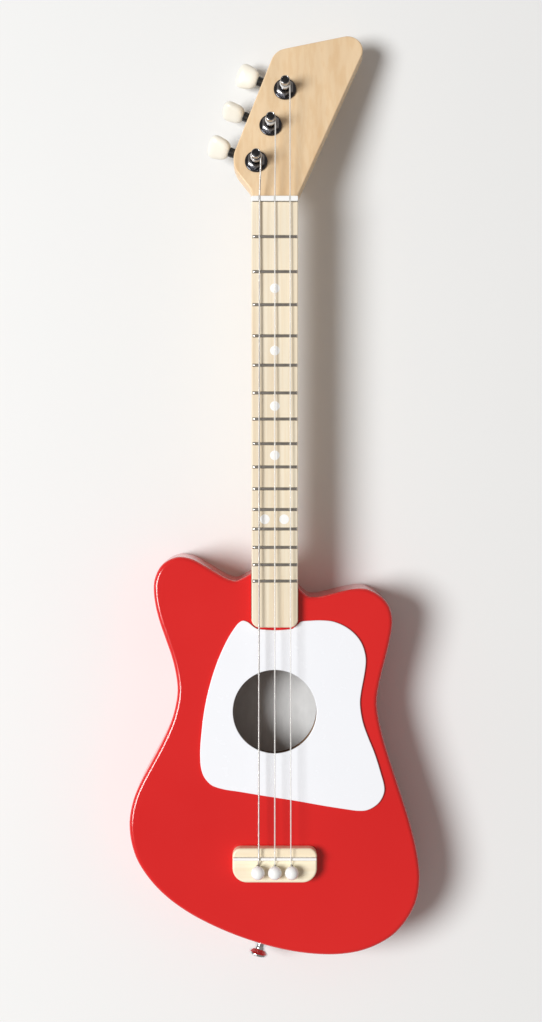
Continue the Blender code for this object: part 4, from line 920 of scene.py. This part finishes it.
def build_bushing(n, place):
    """A black washer, a chamfered hexagon and a thin dark collar."""
    profile = [(3.4 * MM, 1.5 * MM), (6.3 * MM, 1.5 * MM)]
    profile += arc_points((6.35 * MM, 0.75 * MM), 0.75 * MM, 80, -60, 8)
    profile.append((3.4 * MM, 0.05 * MM))
    washer = turned(f"tuner_washer_{n}", profile, place)
    finish_piece(washer, DARK, replaces=(f"tuner_{n}_bushing",))
    bm = bmesh.new()
    raised = Matrix.Translation((0, 0, HEX_MIDDLE)) @ Matrix.Rotation(HEX_TURN, 4, "Z")
    bmesh.ops.create_cone(bm, cap_ends=True, segments=6, radius1=HEX_RADIUS, radius2=HEX_RADIUS,
                          depth=HEX_DEPTH, matrix=raised)
    nut = new_object(f"tuner_nut_{n}", mesh_from(bm, "nut", place))
    profile = [(0.0, 4.7 * MM), (4.3 * MM, 4.7 * MM), (5.9 * MM, 3.8 * MM),
               (5.9 * MM, 1.0 * MM), (0.0, 1.0 * MM)]
    combine(nut, [turned("chamfer", profile, place)], "INTERSECT")
    combine(nut, [cylinder("bore", 3.35 * MM, -2 * MM, 8 * MM, 48, place)], "DIFFERENCE")
    finish_piece(smooth(nut, 25, False), SMOKED, replaces=(f"tuner_{n}_bushing",))
    profile = [(3.32 * MM, 5.2 * MM), (3.7 * MM, 5.2 * MM), (3.95 * MM, 4.9 * MM),
               (3.95 * MM, 4.3 * MM), (3.32 * MM, 4.3 * MM)]
    finish_piece(turned(f"tuner_collar_{n}", profile, place), DARK)


def build_post(n, place):
    """Plated post: waist for the string, a hole through it whose walls are painted dark as shade, and a
    hollow dark top.
    """
    top = POST_TOP
    profile = [(0.0, top - 1.2 * MM), (2.2 * MM, top - 1.1 * MM), (2.35 * MM, top - 0.2 * MM)]
    profile += arc_points((2.6 * MM, top - 0.4 * MM), 0.35 * MM, 110, 0, 5)
    profile += [(POST_RADIUS, top - 2.2 * MM)]
    profile += arc_points((3.4 * MM, top - 3.1 * MM), 0.9 * MM, 120, 180, 5)
    profile += [(POST_WAIST, 6.4 * MM), (POST_RADIUS, 5.5 * MM), (POST_RADIUS, -15.4 * MM),
                (1.5 * MM, -15.4 * MM), (1.5 * MM, POST_FOOT), (0.0, POST_FOOT)]
    post = turned(f"tuner_spindle_{n}", profile, place, 48)
    post.data.materials.append(GREY_CHROME)
    lying = Matrix.Translation((0, 0, 10.9 * MM)) @ Matrix.Rotation(math.radians(90), 4, "Y")
    hole = cylinder("hole", 0.75 * MM, -5 * MM, 5 * MM, 24, place @ lying)
    # The hole's walls take the near-black metal: painted shade inside the hole.
    hole.data.materials.append(DARK)
    combine(post, [hole], "DIFFERENCE")
    finish_piece(smooth(post, 40, False), GREY_CHROME, f"tuner_{n}_spindle", (f"tuner_{n}_post",))
    profile = [(0.0, top - 0.35 * MM), (1.4 * MM, top - 0.42 * MM), (2.15 * MM, top - 0.7 * MM),
               (2.15 * MM, top - 1.0 * MM), (0.0, top - 1.05 * MM)]
    cap = turned(f"tuner_cap_{n}", profile, place, 40)
    finish_piece(cap, BLACK, f"tuner_{n}_spindle")


def squarish(angle, wide, thick, power=0.78):
    """A point on an oval with flattened sides."""
    c, s = math.cos(angle), math.sin(angle)
    return wide * math.copysign(abs(c) ** power, c), thick * math.copysign(abs(s) ** power, s)


def bulge(u, steepness, power, least=0.02):
    """How much of its full width the knob has at u, from -1 to 1 along it."""
    return max((1 - abs(u) ** steepness) ** power if abs(u) < 1 else 0.0, least)


def build_button(n, place):
    """A moulded knob: broad and rounded at its outer end, narrower towards the stem."""
    spin = place @ Matrix.Rotation(math.radians(REST_TURNS[n - 1]), 4, "Z")
    stations, sides = 26, 40
    rings = []
    for station in range(stations + 1):
        u = -math.cos(math.pi * station / stations)
        wide = BUTTON_WIDE * (0.84 + 0.16 * u) * bulge(u, 3.4, 1 / 2.2)
        thick = BUTTON_THICK * (0.94 - 0.06 * u) * bulge(u, 4, 0.5)
        height = BUTTON_MIDDLE + BUTTON_HALF * u
        rings.append([(*squarish(TAU * k / sides, wide, thick), height) for k in range(sides)])
    button = loft(f"tuner_knob_{n}", rings, spin)
    button.data.materials.append(IVORY)
    near = BUTTON_MIDDLE - BUTTON_HALF
    combine(button, [cylinder("socket", 2.2 * MM, near - 3 * MM, near + 4.2 * MM, 32, spin)], "DIFFERENCE")
    finish_piece(smooth(button, 50, False), IVORY, f"tuner_{n}_knob", (f"tuner_{n}_button",))
    profile = [(2.1 * MM, near + 4.0 * MM), (2.1 * MM, near + 0.6 * MM), (3.1 * MM, near + 0.4 * MM),
               (3.1 * MM, near - 1.6 * MM), (2.96 * MM, near - 1.9 * MM), (2.96 * MM, 9.2 * MM),
               (STEM_BORE, 9.2 * MM), (STEM_BORE, near + 4.0 * MM)]
    stem = turned(f"tuner_stem_{n}", profile, spin, 40)
    finish_piece(stem, BLACK, f"tuner_{n}_knob")


def build_housing(n, place):
    """The case behind the head, and the domed heads of its two screws."""
    dress(f"tuner_{n}_housing", CHROME, 0.6 * MM)
    height = HEAD_THICKNESS + HOUSING_HEIGHT
    profile = arc_points((0.0, height - 2.2 * MM), 2.2 * MM, 90, 30, 6)
    profile += [(1.9 * MM, height - 1.6 * MM), (0.0, height - 1.6 * MM)]
    for count, x in enumerate(HOUSING_SCREW_XS, start=1):
        spot = place @ Matrix.Translation((x, HOUSING_SCREW_Y, 0)) @ Matrix.Rotation(math.pi, 4, "X")
        screw = turned(f"tuner_screw_{n}_{count}", profile, spot, 32)
        finish_piece(screw, STEEL)


def build_tuners():
    side = HEAD_NORMAL.cross(BUTTON_AXIS)
    across = Matrix((BUTTON_AXIS, side, HEAD_NORMAL)).transposed().to_4x4()
    along = Matrix((-HEAD_NORMAL, side, BUTTON_AXIS)).transposed().to_4x4()
    for n, (post, worm) in enumerate(zip(POSTS, WORMS), start=1):
        place = Matrix.Translation(post) @ across
        build_bushing(n, place)
        build_post(n, place)
        build_housing(n, place)
        build_button(n, Matrix.Translation(worm) @ along)
        dress(f"tuner_{n}_gear", BRASS)
        dress(f"tuner_{n}_worm", STEEL)


def build_neck_screws():
    for n in (1, 2):
        dress(f"neck_screw_{n}", STEEL, 0.3 * MM)


# ---- studio ------------------------------------------------------------------------------------------
STUDIO_MIDDLE = Vector((0, 0.2, 0))
FLOOR_HALF = 15.0
FLOOR_DROP = 0.2 * MM
WORLD_COLOUR = (1.0, 0.91, 0.85)
WORLD_STRENGTH = 0.26
KEY_PLACE = Vector((-2.45, 0.15, 3.35))
KEY_SIZE = 1.9
KEY_POWER = 174.0
KEY_COLOUR = (0.985, 1.0, 1.0)
CAMERA_PLACE = (-0.00235, 0.2452, 1.1274)
CAMERA_TILT = -1.64
CAMERA_SENSOR = 36.0
CAMERA_LENS = 61.3


def build_floor():
    """A pale painted floor just under the guitar's back."""
    bm = bmesh.new()
    bmesh.ops.create_grid(bm, x_segments=2, y_segments=2, size=FLOOR_HALF)
    place = Matrix.Translation((STUDIO_MIDDLE.x, STUDIO_MIDDLE.y, -FLOOR_DROP))
    floor = new_object("studio_floor", mesh_from(bm, "floor", place))
    finish = Finish("floor_paint", (0.84, 0.845, 0.845), 0.60)
    finish.colour(finish.ramp(finish.noise(3.0), [(0.3, (0.835, 0.84, 0.84)), (0.7, (0.85, 0.855, 0.855))]))
    floor.data.materials.append(finish.material)


def build_light():
    """A soft lamp high on the left, and a faint warm fill from all round."""
    world = bpy.data.worlds.new("studio")
    bpy.context.scene.world = world
    world.use_nodes = True
    background = world.node_tree.nodes["Background"]
    background.inputs["Color"].default_value = (*WORLD_COLOUR, 1)
    background.inputs["Strength"].default_value = WORLD_STRENGTH
    data = bpy.data.lights.new("key", "AREA")
    data.shape = "DISK"
    data.size = KEY_SIZE
    data.energy = KEY_POWER
    data.color = KEY_COLOUR
    light = new_object("key", data)
    light.location = KEY_PLACE
    light.rotation_euler = (STUDIO_MIDDLE - KEY_PLACE).to_track_quat("-Z", "Y").to_euler()


def build_camera():
    """Square above the guitar, tilted a little towards its tail."""
    data = bpy.data.cameras.new("camera")
    data.sensor_width = CAMERA_SENSOR
    data.lens = CAMERA_LENS
    camera = new_object("camera", data)
    camera.location = CAMERA_PLACE
    camera.rotation_euler = (math.radians(CAMERA_TILT), 0, 0)
    bpy.context.scene.camera = camera
    bpy.context.scene.view_settings.view_transform = "Standard"


build_camera()
build_body()
build_inside()
build_guard()
build_strap_button()
build_bridge()
build_saddle()
build_pins()
build_neck()
build_fretboard()
build_frets()
build_dots()
build_nut()
build_strings()
build_tuners()
build_neck_screws()
build_floor()
build_light()
